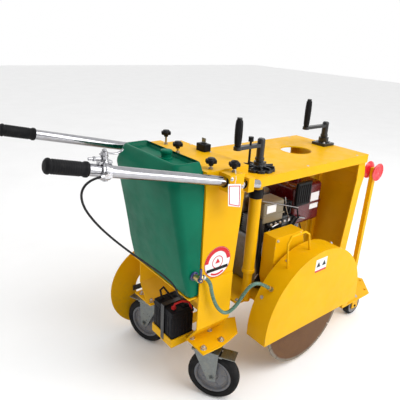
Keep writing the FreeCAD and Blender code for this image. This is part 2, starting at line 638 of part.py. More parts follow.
# ----------------------------------------------------------------- finish up
doc.recompute()
bad = []
for o in doc.Objects:
    if "Invalid" in o.State or "Error" in o.State:
        bad.append(o.Label + " " + str(o.State))
for n, o in nodes.items():
    sh = o.Shape
    if sh.isNull() or not sh.isValid() or not sh.Solids:
        bad.append("shape " + n)
print("bad:", bad)
os.makedirs("parts", exist_ok=True)
lo = [1e9] * 3
hi = [-1e9] * 3
for n, o in nodes.items():
    o.Shape.exportStep("parts/" + n + ".step")
    b = o.Shape.BoundBox
    if n not in ("throttle_cable", "water_hose"):
        lo = [min(lo[0], b.XMin), min(lo[1], b.YMin), min(lo[2], b.ZMin)]
        hi = [max(hi[0], b.XMax), max(hi[1], b.YMax), max(hi[2], b.ZMax)]
    if len(o.Shape.Solids) != 1:
        print("solids", n, len(o.Shape.Solids))
print("box", [round(v, 2) for v in lo], [round(v, 2) for v in hi], "centre",
      round((lo[0] + hi[0]) / 2, 3), round((lo[1] + hi[1]) / 2, 3))
for n, d in (("throttle_cable", 6.0), ("water_hose", 13.0)):
    ln = cable_len if n == "throttle_cable" else hose_len
    print(n, "volume ratio", round(nodes[n].Shape.Volume / (math.pi * d * d / 4 * ln), 4))
print(len(nodes), "nodes,", len(used), "sheet numbers")
if bad:
    raise RuntimeError("bad objects: %s" % bad)
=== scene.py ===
import bpy
import bmesh
import json
import math
import random
from mathutils import Vector, Matrix


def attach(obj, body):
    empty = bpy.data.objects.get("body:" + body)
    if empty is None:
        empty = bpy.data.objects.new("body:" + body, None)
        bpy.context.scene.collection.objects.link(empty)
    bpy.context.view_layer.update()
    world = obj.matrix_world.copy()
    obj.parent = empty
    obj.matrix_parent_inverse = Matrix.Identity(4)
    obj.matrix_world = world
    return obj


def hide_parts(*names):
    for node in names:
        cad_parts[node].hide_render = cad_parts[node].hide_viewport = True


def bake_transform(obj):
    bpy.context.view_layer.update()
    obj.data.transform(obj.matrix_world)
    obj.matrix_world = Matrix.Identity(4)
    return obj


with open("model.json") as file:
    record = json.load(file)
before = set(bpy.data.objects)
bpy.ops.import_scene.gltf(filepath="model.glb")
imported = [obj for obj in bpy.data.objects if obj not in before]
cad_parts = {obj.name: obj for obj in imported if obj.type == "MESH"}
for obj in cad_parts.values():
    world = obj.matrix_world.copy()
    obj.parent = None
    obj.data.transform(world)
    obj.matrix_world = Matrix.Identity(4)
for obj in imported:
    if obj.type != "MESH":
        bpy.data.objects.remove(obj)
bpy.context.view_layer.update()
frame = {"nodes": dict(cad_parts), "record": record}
random.seed(7)
OX, OY = 241.858, 8.0
N = frame["nodes"]


def K(x, y, z):
    return Vector(((x - OX) / 1000.0, (y - OY) / 1000.0, z / 1000.0))


# ------------------------------------------------------------------ materials
def tree(name):
    m = bpy.data.materials.new(name)
    m.use_nodes = True
    nt = m.node_tree
    nt.nodes.clear()
    out = nt.nodes.new("ShaderNodeOutputMaterial")
    b = nt.nodes.new("ShaderNodeBsdfPrincipled")
    nt.links.new(b.outputs[0], out.inputs[0])
    tc = nt.nodes.new("ShaderNodeTexCoord")
    return m, nt, b, tc


def noise(nt, vec, scale, detail=4.0, rough=0.55):
    n = nt.nodes.new("ShaderNodeTexNoise")
    n.inputs["Scale"].default_value = scale
    n.inputs["Detail"].default_value = detail
    n.inputs["Roughness"].default_value = rough
    nt.links.new(vec, n.inputs["Vector"])
    return n.outputs["Fac"]


def ramp(nt, fac, stops):
    r = nt.nodes.new("ShaderNodeValToRGB")
    els = r.color_ramp.elements
    while len(els) < len(stops):
        els.new(0.5)
    for e, (p, c) in zip(els, stops):
        e.position = p
        e.color = (c[0], c[1], c[2], 1) if not isinstance(c, (int, float)) else (c, c, c, 1)
    nt.links.new(fac, r.inputs["Fac"])
    return r.outputs["Color"]


def mix(nt, fac, a, b, mode="MIX"):
    n = nt.nodes.new("ShaderNodeMix")
    n.data_type = "RGBA"
    n.blend_type = mode
    for sock, v in ((0, fac), (6, a), (7, b)):
        if isinstance(v, (int, float)):
            n.inputs[sock].default_value = v
        elif isinstance(v, (tuple, list)):
            n.inputs[sock].default_value = (v[0], v[1], v[2], 1)
        else:
            nt.links.new(v, n.inputs[sock])
    return n.outputs[2]


def math_(nt, op, a, b=None, clamp=False):
    n = nt.nodes.new("ShaderNodeMath")
    n.operation = op
    n.use_clamp = clamp
    for i, v in enumerate((a, b)):
        if v is None:
            continue
        if isinstance(v, (int, float)):
            n.inputs[i].default_value = v
        else:
            nt.links.new(v, n.inputs[i])
    return n.outputs[0]


def bump(nt, b, height, strength, distance=0.001, normal=None):
    n = nt.nodes.new("ShaderNodeBump")
    n.inputs["Strength"].default_value = strength
    n.inputs["Distance"].default_value = distance
    nt.links.new(height, n.inputs["Height"])
    if normal is not None:
        nt.links.new(normal, n.inputs["Normal"])
    nt.links.new(n.outputs[0], b.inputs["Normal"])


def soft_edge(nt, radius):
    n = nt.nodes.new("ShaderNodeBevel")
    n.samples = 4
    n.inputs["Radius"].default_value = radius
    return n.outputs[0]


def edge_mask(nt, normal):
    g = nt.nodes.new("ShaderNodeNewGeometry")
    d = nt.nodes.new("ShaderNodeVectorMath")
    d.operation = "DOT_PRODUCT"
    nt.links.new(normal, d.inputs[0])
    nt.links.new(g.outputs["Normal"], d.inputs[1])
    return math_(nt, "SUBTRACT", 1.0, d.outputs["Value"], True)


def paint(name, rgb, rough=0.3, radius=0.0022, chip=(0.55, 0.53, 0.5), dirt=(0.3, 0.2, 0.08), coat=0.35, peel=0.05, spec=0.35):
    m, nt, b, tc = tree(name)
    o = tc.outputs["Object"]
    big = noise(nt, o, 7, 5)
    fine = noise(nt, o, 90, 6, 0.7)
    col = ramp(nt, big, [(0.3, [c * 0.93 for c in rgb]), (0.55, rgb), (0.75, [min(1, c * 1.03 + 0.004) for c in rgb])])
    sp = nt.nodes.new("ShaderNodeSeparateXYZ")
    nt.links.new(o, sp.inputs[0])
    low = math_(nt, "MULTIPLY_ADD", sp.outputs["Z"], -2.6)
    low.node.inputs[2].default_value = 0.85
    low.node.use_clamp = True
    grime = math_(nt, "MULTIPLY", low, ramp(nt, fine, [(0.48, 0.0), (0.7, 0.55)]), True)
    col = mix(nt, grime, col, dirt)
    nrm = soft_edge(nt, radius)
    em = edge_mask(nt, nrm)
    worn = math_(nt, "MULTIPLY", math_(nt, "GREATER_THAN", em, 0.05), ramp(nt, noise(nt, o, 45, 5, 0.75), [(0.6, 0.0), (0.66, 1.0)]), True)
    col = mix(nt, worn, col, chip)
    if name == "yellow_paint":
        face = math_(nt, "LESS_THAN", sp.outputs["Y"], -0.3179)

        def patch(x0, x1, z0, z1):
            lo, hi = K(x0, 0, z0), K(x1, 0, z1)
            m1 = math_(nt, "MULTIPLY", math_(nt, "GREATER_THAN", sp.outputs["X"], lo.x), math_(nt, "LESS_THAN", sp.outputs["X"], hi.x))
            m2 = math_(nt, "MULTIPLY", math_(nt, "GREATER_THAN", sp.outputs["Z"], lo.z), math_(nt, "LESS_THAN", sp.outputs["Z"], hi.z))
            return math_(nt, "MULTIPLY", math_(nt, "MULTIPLY", m1, m2), face)

        col = mix(nt, patch(392, 460, 456, 512), col, (0.76, 0.77, 0.78))
        col = mix(nt, patch(392, 460, 456, 464), col, (0.5, 0.03, 0.06))
        for cx in (409, 443):
            for k in range(4):
                col = mix(nt, patch(cx - 11 + 2.6 * k, cx + 11 - 2.6 * k, 478 + 5 * k, 483 + 5 * k), col, (0.02, 0.02, 0.02))
    nt.links.new(col, b.inputs["Base Color"])
    r = ramp(nt, noise(nt, o, 25, 5), [(0.3, rough * 0.75), (0.7, rough * 1.35)])
    nt.links.new(r, b.inputs["Roughness"])
    b.inputs["Specular IOR Level"].default_value = spec
    b.inputs["Coat Weight"].default_value = coat
    b.inputs["Coat Roughness"].default_value = 0.12
    bump(nt, b, noise(nt, o, 420, 3), peel, 0.0006, nrm)
    return m


def plastic(name, rgb, rough=0.45, grain=900, strength=0.15, radius=0.0015, ribs=None, var=0.12):
    m, nt, b, tc = tree(name)
    o = tc.outputs["Object"]
    col = ramp(nt, noise(nt, o, 14, 5), [(0.3, [c * (1 - var) for c in rgb]), (0.7, [min(1, c * (1 + var) + 0.004) for c in rgb])])
    dust = ramp(nt, noise(nt, o, 60, 6, 0.7), [(0.58, 0.0), (0.85, 0.06)])
    col = mix(nt, dust, col, (0.35, 0.32, 0.27))
    nt.links.new(col, b.inputs["Base Color"])
    nt.links.new(ramp(nt, noise(nt, o, 35, 4), [(0.3, rough * 0.8), (0.7, min(1, rough * 1.3))]), b.inputs["Roughness"])
    b.inputs["Specular IOR Level"].default_value = 0.1
    bump(nt, b, noise(nt, o, grain, 3), strength, 0.0005, soft_edge(nt, radius))
    return m


def metal(name, rgb, rough=0.3, stretch=(1, 1, 1), scale=300, strength=0.12, radius=0.001, stain=(0.25, 0.2, 0.15), stain_amt=0.25):
    m, nt, b, tc = tree(name)
    o = tc.outputs["Object"]
    mp = nt.nodes.new("ShaderNodeMapping")
    mp.inputs["Scale"].default_value = stretch
    nt.links.new(o, mp.inputs["Vector"])
    g = noise(nt, mp.outputs[0], scale, 4)
    col = ramp(nt, g, [(0.25, [c * 0.85 for c in rgb]), (0.75, [min(1, c * 1.1) for c in rgb])])
    spots = ramp(nt, noise(nt, o, 40, 6, 0.7), [(0.5, 0.0), (0.75, stain_amt)])
    col = mix(nt, spots, col, stain)
    nt.links.new(col, b.inputs["Base Color"])
    b.inputs["Metallic"].default_value = 1.0
    nt.links.new(ramp(nt, noise(nt, o, 60, 5), [(0.3, rough * 0.7), (0.7, min(1, rough * 1.5))]), b.inputs["Roughness"])
    bump(nt, b, g, strength, 0.0004, soft_edge(nt, radius))
    return m


YEL = (0.77, 0.41, 0.001)
M = {}
M["yellow_paint"] = paint("yellow_paint", YEL, 0.42, coat=0.04, spec=0.1)
M["ground_steel"] = metal("ground_steel", (0.6, 0.6, 0.61), 0.22, (1, 1, 8), 200)
M["black_plastic"] = plastic("black_plastic", (0.008, 0.008, 0.009), 0.32)
M["brass"] = metal("brass", (0.7, 0.52, 0.22), 0.28)
M["tap_blue"] = paint("tap_blue", (0.02, 0.03, 0.14), 0.35)
M["battery_black"] = plastic("battery_black", (0.008, 0.008, 0.01), 0.5)
M["black_steel"] = paint("black_steel", (0.008, 0.008, 0.009), 0.36, chip=(0.3, 0.3, 0.3), dirt=(0.2, 0.17, 0.13))
M["zinc"] = metal("zinc", (0.2, 0.215, 0.21), 0.34, (1, 1, 1), 120, stain=(0.4, 0.36, 0.25), stain_amt=0.3)
M["chrome_tube"] = metal("chrome_tube", (0.38, 0.38, 0.4), 0.1, (1, 1, 1), 60, 0.02, stain=(0.55, 0.53, 0.5), stain_amt=0.25)
M["grip_rubber"] = plastic("grip_rubber", (0.007, 0.007, 0.008), 0.5, 700, 0.25)
M["cable_black"] = plastic("cable_black", (0.015, 0.015, 0.016), 0.45)
M["tyre_rubber"] = plastic("tyre_rubber", (0.012, 0.012, 0.0125), 0.7, 500, 0.4, var=0.3)
M["hub_grey"] = paint("hub_grey", (0.12, 0.125, 0.14), 0.4, chip=(0.6, 0.6, 0.6))
M["cast_aluminium"] = metal("cast_aluminium", (0.26, 0.265, 0.27), 0.4, (1, 1, 1), 450, 0.5, stain=(0.12, 0.1, 0.08), stain_amt=0.6)
M["dark_red"] = paint("dark_red", (0.1, 0.002, 0.006), 0.25, coat=0.4)
M["beige_paint"] = paint("beige_paint", (0.2, 0.165, 0.1), 0.4, chip=(0.3, 0.28, 0.22))
M["muffler_steel"] = metal("muffler_steel", (0.3, 0.28, 0.26), 0.5, (1, 1, 1), 200, 0.3, stain=(0.25, 0.1, 0.04), stain_amt=0.6)
M["cast_iron"] = metal("cast_iron", (0.16, 0.16, 0.165), 0.5, (1, 1, 1), 500, 0.4)
M["belt_rubber"] = plastic("belt_rubber", (0.018, 0.018, 0.018), 0.75, 1500, 0.5)
M["red_paint"] = paint("red_paint", (0.72, 0.018, 0.03), 0.28, radius=0.003)
M["label_white"] = plastic("label_white", (0.78, 0.79, 0.8), 0.4, 1200, 0.03, var=0.04)
M["label_red"] = plastic("label_red", (0.6, 0.03, 0.04), 0.4, 1200, 0.03, var=0.08)
M["bolt_zinc"] = metal("bolt_zinc", (0.58, 0.58, 0.6), 0.32, (1, 1, 1), 300, stain=(0.3, 0.16, 0.06), stain_amt=0.45)
M["wire_red"] = plastic("wire_red", (0.5, 0.02, 0.02), 0.4)

# green moulded tank: slight translucency in the colour, flow marks, matt scuffs
m, nt, b, tc = tree("green_plastic")
o = tc.outputs["Object"]
col = ramp(nt, noise(nt, o, 5, 5), [(0.3, (0.0, 0.098, 0.052)), (0.55, (0.0, 0.132, 0.071)), (0.8, (0.0, 0.165, 0.09))])
scuff = ramp(nt, noise(nt, o, 120, 8, 0.8), [(0.62, 0.0), (0.8, 0.07)])
nt.links.new(mix(nt, scuff, col, (0.12, 0.36, 0.29)), b.inputs["Base Color"])
nt.links.new(ramp(nt, noise(nt, o, 18, 5), [(0.3, 0.3), (0.7, 0.5)]), b.inputs["Roughness"])
b.inputs["Subsurface Weight"].default_value = 0.04
b.inputs["Subsurface Radius"].default_value = (0.004, 0.012, 0.008)
b.inputs["Coat Weight"].default_value = 0.05
b.inputs["Specular IOR Level"].default_value = 0.07
bump(nt, b, noise(nt, o, 38, 3), 0.25, 0.0015)
M["green_plastic"] = m

# clear hose
m, nt, b, tc = tree("hose_clear")
o = tc.outputs["Object"]
nt.links.new(ramp(nt, noise(nt, o, 60, 4), [(0.3, (0.08, 0.19, 0.15)), (0.7, (0.16, 0.31, 0.25))]), b.inputs["Base Color"])
nt.links.new(ramp(nt, noise(nt, o, 200, 3), [(0.3, 0.12), (0.7, 0.3)]), b.inputs["Roughness"])
b.inputs["Transmission Weight"].default_value = 0.35
b.inputs["IOR"].default_value = 1.4
bump(nt, b, noise(nt, o, 700, 2), 0.1, 0.0004)
M["hose_clear"] = m

# blade: concentric grinding, blued rim, darker segments at the edge
m, nt, b, tc = tree("blade_steel")
o = tc.outputs["Object"]
c = K(425, -275, 240)
sub = nt.nodes.new("ShaderNodeVectorMath")
sub.operation = "SUBTRACT"
sub.inputs[1].default_value = (c.x, c.y, c.z)
nt.links.new(o, sub.inputs[0])
sp = nt.nodes.new("ShaderNodeSeparateXYZ")
nt.links.new(sub.outputs[0], sp.inputs[0])
rad = math_(nt, "SQRT", math_(nt, "ADD", math_(nt, "MULTIPLY", sp.outputs[0], sp.outputs[0]), math_(nt, "MULTIPLY", sp.outputs[2], sp.outputs[2])))
ang = math_(nt, "ARCTAN2", sp.outputs[2], sp.outputs[0])
cv = nt.nodes.new("ShaderNodeCombineXYZ")
nt.links.new(math_(nt, "MULTIPLY", rad, 900), cv.inputs[0])
nt.links.new(math_(nt, "MULTIPLY", ang, 1.5), cv.inputs[1])
rings = noise(nt, cv.outputs[0], 1.0, 4)
col = ramp(nt, rings, [(0.3, (0.09, 0.037, 0.011)), (0.7, (0.16, 0.072, 0.024))])
col = mix(nt, ramp(nt, noise(nt, o, 22, 6, 0.7), [(0.45, 0.0), (0.75, 0.6)]), col, (0.085, 0.03, 0.008))
rim = ramp(nt, math_(nt, "MULTIPLY", rad, 1.0), [(0.2095, 0.0), (0.2115, 1.0)])
col = mix(nt, rim, col, mix(nt, noise(nt, o, 500, 4), (0.1, 0.085, 0.07), (0.3, 0.26, 0.2)))
nt.links.new(col, b.inputs["Base Color"])
b.inputs["Metallic"].default_value = 0.2
b.inputs["Specular IOR Level"].default_value = 0.15
nt.links.new(ramp(nt, rings, [(0.3, 0.32), (0.7, 0.5)]), b.inputs["Roughness"])
bump(nt, b, rings, 0.2, 0.0004)
M["blade_steel"] = m

slot_of = {s["node"]: s["material_slot"] for s in frame["record"]["subparts"]}
for name, ob in N.items():
    ob.data.materials.clear()
    ob.data.materials.append(M[slot_of[name]])


# --------------------------------------------------------------- mesh helpers
def basis(d):
    return Vector(d).normalized().to_track_quat("Z", "Y").to_matrix().to_4x4()


def add_cyl(bm, p, d, r, h, n=28, r2=None):
    """p is a row point in mm coordinates of the machine, r and h in mm."""
    mt = Matrix.Translation(K(*p)) @ basis(d) @ Matrix.Translation((0, 0, h / 2000.0))
    bmesh.ops.create_cone(bm, cap_ends=True, segments=n, radius1=r / 1000.0, radius2=(r if r2 is None else r2) / 1000.0,
                          depth=h / 1000.0, matrix=mt)


def add_box(bm, x0, x1, y0, y1, z0, z1, rot=None):
    a, b_ = K(x0, y0, z0), K(x1, y1, z1)
    mt = Matrix.Translation((a + b_) / 2) @ (rot if rot else Matrix()) @ Matrix.Diagonal((b_.x - a.x, b_.y - a.y, b_.z - a.z, 1))
    bmesh.ops.create_cube(bm, size=1, matrix=mt)


def add_lathe(bm, prof, p, d, n=40):
    """prof is (radius mm, height mm)."""
    mt = Matrix.Translation(K(*p)) @ basis(d)
    rows = []
    for r, h in prof:
        if r < 1e-6:
            rows.append([bm.verts.new(mt @ Vector((0, 0, h / 1000.0)))])
        else:
            rows.append([bm.verts.new(mt @ Vector((r * math.cos(2 * math.pi * i / n) / 1000.0,
                                                   r * math.sin(2 * math.pi * i / n) / 1000.0, h / 1000.0))) for i in range(n)])
    for a, b_ in zip(rows, rows[1:]):
        for i in range(n):
            j = (i + 1) % n
            if len(a) == 1 and len(b_) == 1:
                continue
            if len(a) == 1:
                bm.faces.new((a[0], b_[j], b_[i]))
            elif len(b_) == 1:
                bm.faces.new((a[i], a[j], b_[0]))
            else:
                bm.faces.new((a[i], a[j], b_[j], b_[i]))


def add_tube(bm, pts, r, n=14, cap=True):
    """Tube along row-frame points in metres."""
    rows = []
    up = None
    for i, p in enumerate(pts):
        t = (pts[min(i + 1, len(pts) - 1)] - pts[max(i - 1, 0)]).normalized()
        if up is None:
            up = t.orthogonal().normalized()
        up = (up - t * up.dot(t)).normalized()
        side = t.cross(up)
        rr = r[i] if isinstance(r, list) else r
        rows.append([bm.verts.new(p + (up * math.cos(2 * math.pi * k / n) + side * math.sin(2 * math.pi * k / n)) * rr) for k in range(n)])
    for a, b_ in zip(rows, rows[1:]):
        for i in range(n):
            j = (i + 1) % n
            bm.faces.new((a[i], a[j], b_[j], b_[i]))
    if cap:
        bm.faces.new(rows[0][::-1])
        bm.faces.new(rows[-1])


def rrect(hx0, hx1, hy, r, z, n=8):
    """Rounded rectangle ring: x from hx0 to hx1, y +-hy about cy."""
    pts = []
    for cx, cy, a0 in ((hx1 - r, hy[1] - r, 0), (hx0 + r, hy[1] - r, 90), (hx0 + r, hy[0] + r, 180), (hx1 - r, hy[0] + r, 270)):
        for k in range(n + 1):
            a = math.radians(a0 + 90.0 * k / n)
            pts.append((cx + r * math.cos(a), cy + r * math.sin(a), z))
    return pts


def add_loft(bm, rings):
    rows = [[bm.verts.new(K(*p)) for p in ring] for ring in rings]
    n = len(rows[0])
    for a, b_ in zip(rows, rows[1:]):
        for i in range(n):
            j = (i + 1) % n
            bm.faces.new((a[i], a[j], b_[j], b_[i]))
    bm.faces.new(rows[0][::-1])
    bm.faces.new(rows[-1])


def done(name, bm, mat, body, bevel=0.0, angle=40, seg=2, replaces=None):
    bmesh.ops.recalc_face_normals(bm, faces=bm.faces)
    me = bpy.data.meshes.new(name)
    bm.to_mesh(me)
    bm.free()
    ob = bpy.data.objects.new(name, me)
    bpy.context.scene.collection.objects.link(ob)
    me.materials.append(M[mat])
    for p in me.polygons:
        p.use_smooth = True
    if bevel:
        md = ob.modifiers.new("bevel", "BEVEL")
        md.width = bevel / 1000.0
        md.segments = seg
        md.limit_method = "ANGLE"
        md.angle_limit = math.radians(angle)
        md.harden_normals = False
    me.set_sharp_from_angle(angle=math.radians(angle))
    if body:
        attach(ob, body)
    if replaces:
        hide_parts(*replaces)
    return ob


def hexbolt(bm, p, d, r=6.5, h=5, washer=True):
    d = Vector(d).normalized()
    q = Vector(p)
    if washer:
        add_cyl(bm, q, d, r * 1.45, 1.4, 24)
        q = q + d * 1.4
    add_cyl(bm, q, d, r, h, 6)
    add_cyl(bm, q + d * h, d, r * 0.55, h * 0.5, 16)


def hz(x):
    return 865.3 - math.tan(math.radians(13.2)) * x


HD = Vector((math.cos(math.radians(13.2)), 0, -math.sin(math.radians(13.2))))

# ------------------------------------------------------------------ the tank
def tank_ring(back, front, yn, yf, r, z, n=8):
    pts = []
    for cx, cy, a0, rr in ((front, yf, 0, 5), (back, yf, 90, r), (back, yn, 180, r), (front, yn, 270, 5)):
        sx, sy = (-1 if cx == front else 1), (-1 if cy == yf else 1)
        for k in range(n + 1):
            a = math.radians(a0 + 90.0 * k / n)
            pts.append((cx + sx * rr + rr * math.cos(a), cy + sy * rr + rr * math.sin(a), z))
    return pts


rows = []
for z, back, yn, yf, r in ((456, 112, -179, 179, 12), (459, 116, -183, 183, 16), (466, 120, -185, 185, 19), (500, 128, -185, 185, 23), (560, 142, -185, 185, 30),
                           (620, 152, -185, 185, 35), (700, 167, -185, 185, 40), (790, 184, -185, 185, 42), (846, 194, -185, 185, 42), (862, 197, -184, 185, 42),
                           (874, 195.5, -181, 184, 41), (888, 189, -176, 182, 40), (902, 182, -169, 179, 38), (914, 175.5, -162, 175, 36), (921, 172, -157, 172, 34),
                           (924.5, 168.5, -153, 168, 32), (925, 165, -149, 165, 30), (924, 160, -145, 161, 28), (917, 156, -140, 157, 26), (910, 153, -137, 154, 24),
                           (908, 148, -132, 149, 22)):
    rows.append(tank_ring(-back, -75.6 - (6 if z in (908, 910) else 0), yn, yf, min(r * 0.72, back - 86), z))
bm = bmesh.new()
add_loft(bm, rows)
tank = done("tank_moulding", bm, "green_plastic", "chassis", replaces=["water_tank"], angle=50)
bm = bmesh.new()
add_lathe(bm, [(22, 907), (21, 912), (17, 914), (17, 926), (0, 926)], (-112, -20, 0), (0, 0, 1), 40)
done("tank_filler_neck", bm, "green_plastic", "chassis", angle=50)
# cap and its ridges
bm = bmesh.new()
add_lathe(bm, [(0, 937.8), (13, 937.8), (17.5, 936.8), (19.4, 934), (19.4, 927), (18.6, 926.1), (0, 926.1)], (-112, -20, 0), (0, 0, 1), 48)
for i in range(18):
    a = 2 * math.pi * i / 18
    add_cyl(bm, (-112 + 18.7 * math.cos(a), -20 + 18.7 * math.sin(a), 927), (0, 0, 1), 1.2, 8.6, 8)
done("tank_cap_ribbed", bm, "green_plastic", "cap", replaces=["tank_cap"], angle=50)

# ------------------------------------------------------------------ knobs
for node, (x, y), z0, body in (("arch_knob_a", (10, 165), 930.0, "knob_a"), ("arch_knob_b", (-22, 43), 917.0, "knob_b"),
                               ("arch_knob_c", (-41, -165), 912.0, "knob_c"), ("clamp_knob", (12, -216), 908.0, "knob_clamp")):
    bm = bmesh.new()
    add_lathe(bm, [(0, z0), (8, z0), (8, z0 + 5), (12, z0 + 6), (16, z0 + 10), (16, z0 + 18), (13, z0 + 20.5), (11, z0 + 24.5), (5, z0 + 25.2), (0, z0 + 25.4)], (x, y, 0), (0, 0, 1), 36)
    for i in range(6):
        a = 2 * math.pi * i / 6
        add_lathe(bm, [(0, z0 + 7), (4, z0 + 7.5), (5.4, z0 + 10), (5.4, z0 + 17), (4, z0 + 19.6), (0, z0 + 20.2)],
                  (x + 14 * math.cos(a), y + 14 * math.sin(a), 0), (0, 0, 1), 18)
    done(node + "_lobed", bm, "black_plastic", body, replaces=[node], angle=50)
    base = 896.4 if node == "clamp_knob" else 900.4
    bm = bmesh.new()
    add_cyl(bm, (x, y, base), (0, 0, 1), 8, 2, 24)
    add_cyl(bm, (x, y, base + 2), (0, 0, 1), 7, 4, 6)
    add_cyl(bm, (x, y, base), (0, 0, 1), 4, z0 - base + 1, 20)
    done(node + "_stud", bm, "chrome_tube", body, 0.3)

# ------------------------------------------------------------------ grips
for side, s, x0, body in (("right", -1, -578.0, "right_handle"), ("left", 1, -560.0, "left_handle")):
    L = 104 / HD.x
    prof = [(0, 0.6), (10, 0.4), (14.5, 1.2), (17.6, 3.6), (19.4, 7.2), (19.6, 9.5), (19.0, 11.5), (17.5, 13), (17.2, 15)]
    k = 17.0
    while k < L - 20:
        prof += [(17.9, k), (18.3, k + 1.6), (18.3, k + 3.6), (17.7, k + 4.8)]
        k += 6.0
    prof += [(17.4, L - 15), (17.8, L - 11), (19.6, L - 8.5), (20, L - 6), (20, L - 2), (19, L), (16.05, L)]
    bm = bmesh.new()
    add_lathe(bm, prof, (x0, s * 216, hz(x0)), HD, 48)
    done("grip_ribbed_" + side, bm, "grip_rubber", body, replaces=["handle_grip_" + side], angle=60)
for node, cx, cy, z0, z1, body in (("crank_grip_rear", 105, -125, 946.5, 1040, "rear_crank_grip"), ("crank_grip_front", 628, 10, 944.5, 1056, "front_crank_grip")):
    bm = bmesh.new()
    h = z1 - z0
    prof = [(6.1, 0), (10, 0), (11, 2), (11.6, 10), (12.6, h * 0.35), (12.9, h * 0.6), (12.2, h * 0.82), (11, h - 6), (9, h - 1), (6.1, h)]
    add_lathe(bm, [(r, z0 + q) for r, q in prof], (cx, cy, 0), (0, 0, 1), 40)
    for i in range(10):
        a = 2 * math.pi * i / 10
        pts = [K(cx + r * math.cos(a), cy + r * math.sin(a), z0 + q) for r, q in prof[3:8]]
        add_tube(bm, pts, 0.0009, 6)
    done(node + "_fluted", bm, "black_plastic", body, replaces=[node], angle=60)

# ------------------------------------------------------------------ cords
def spline_line(pts):
    """Points read from the NURBS spline whose control points are the route's points."""
    cu = bpy.data.curves.new("route_line", "CURVE")
    cu.dimensions = "3D"
    cu.resolution_u = 12
    sp = cu.splines.new("NURBS")
    sp.points.add(len(pts) - 1)
    for q, p in zip(sp.points, pts):
        v = K(*p)
        q.co = (v.x, v.y, v.z, 1.0)
    sp.order_u = 3
    sp.use_endpoint_u = True
    ob = bpy.data.objects.new("route_line", cu)
    me = bpy.data.meshes.new_from_object(ob)
    out = [v.co.copy() for v in me.vertices]
    bpy.data.objects.remove(ob)
    bpy.data.meshes.remove(me)
    bpy.data.curves.remove(cu)
    return out


CABLE = [(-450, -241, 961), (-479, -243, 960), (-504, -240, 934), (-496, -231, 890), (-462, -218, 836),
         (-418, -208, 782), (-368, -198, 728), (-313, -187, 672), (-256, -176, 617), (-202, -166, 563),
         (-156, -154, 506), (-128, -142, 446), (-97, -133, 419), (-66, -126, 424), (-52, -122, 445)]
HOSE = [(-82, -208, 544), (-54, -213, 526), (-44, -216, 465), (-20, -222, 404), (16, -230, 371),
        (53, -239, 395), (76, -247, 440), (98, -256, 474), (128, -262, 479), (165, -264, 456), (200, -264, 429)]
for name, pts, dia, mat, a, b_, stiff in (("throttle_cable_run", CABLE, 0.006, "cable_black", "right_handle", "chassis", "medium"),
                                          ("water_hose_run", HOSE, 0.013, "hose_clear", "chassis", "saw_carriage", "medium")):
    clean = spline_line(pts)
    bm = bmesh.new()
    add_tube(bm, clean, dia / 2, 20)
    ob = done(name, bm, mat, None, replaces=["throttle_cable" if "cable" in name else "water_hose"], angle=70)
    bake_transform(ob)

bm = bmesh.new()
add_lathe(bm, [(10.2, 0), (15, 0), (16, 1.5), (16, 5), (13, 7), (10.2, 7)], (-104, -185.6, 545), (0, -1, 0), 40)
for i in range(6):
    a = 2 * math.pi * i / 6
    add_cyl(bm, (-104 + 13 * math.cos(a), -190, 545 + 13 * math.sin(a)), (0, -1, 0), 2.4, 3, 12)
done("tap_flange", bm, "tap_blue", "chassis", 0.3)
# hose clips and elbow at the guard, cable ferrules
bm = bmesh.new()
add_cyl(bm, (-83, -208, 544.5), (1, -0.16, -0.6), 8.4, 8)
add_cyl(bm, (-106, -208, 545), (1, 0, 0), 9.5, 9, 6)
done("hose_clip_tap", bm, "bolt_zinc", "chassis", 0.5)
bm = bmesh.new()
add_cyl(bm, (186, -264, 439.8), (0.79, 0, -0.61), 8.6, 9)
add_cyl(bm, (193, -264, 434.4), (0.79, 0, -0.61), 5.5, 18)
add_cyl(bm, (201, -264, 428.2), (0.79, 0, -0.61), 10.5, 6, 6)
done("guard_water_elbow", bm, "brass", "saw_carriage", 0.5)
bm = bmesh.new()
add_cyl(bm, (-436, -240, 960.8), (-1, -0.07, 0.01), 4.6, 16)
add_cyl(bm, (-428, -226, 960), (0, -1, 0), 3.5, 14)
add_box(bm, -441, -421, -245, -236, 954, 966)
done("cable_ferrule_lever", bm, "bolt_zinc", "right_handle", 0.4)
bm = bmesh.new()
add_cyl(bm, (-53, -123, 440), (0.25, 0.1, 0.9), 4.6, 10)
done("cable_ferrule_shelf", bm, "bolt_zinc", "chassis", 0.4)

# ---------------------------------------------------------------- hardware
bm = bmesh.new()
for s in (-1, 1):
    for x in (20, -62):
        for y in (141, 211):
            hexbolt(bm, (x, s * y, 246), (0, 0, 1), 9, 7.5)
    for z in (852, 884):
        hexbolt(bm, (-16 if z > 860 else 31, s * 240, z), (0, s, 0), 4.5, 3)
for x in (130, 420, 740):
    for y in (-186, 186):
        add_cyl(bm, (x, y, 850), (0, 0, 1), 5.5, 1.6, 20, 4.2)
for x, y in ((745, -10), (785, -10), (745, 30), (785, 30)):
    hexbolt(bm, (x, y, 862), (0, 0, 1), 4.5, 3.5)
for x in (-67, 92):
    for y in (-140, 0, 120):
        add_cyl(bm, (x, y, 900), (0, 0, 1), 4.5, 1.4, 18, 3.4)
done("frame_fasteners", bm, "bolt_zinc", "chassis", 0.35)

# black collar at the top of the screw tube and a collar at the foot
bm = bmesh.new()
add_lathe(bm, [(23.2, 742), (27, 744), (28, 752), (28, 772), (25, 778), (23.2, 778)], (218, -125, 0), (0, 0, 1))
done("screw_tube_collar", bm, "black_plastic", "chassis", angle=30)
bm = bmesh.new()
add_lathe(bm, [(23.05, 430), (25.5, 430), (25.5, 444), (23.05, 446)], (218, -125, 0), (0, 0, 1))
add_box(bm, 196, 240, -150, -100, 838, 844.8)
done("screw_tube_foot", bm, "yellow_paint", "chassis", 1.0)

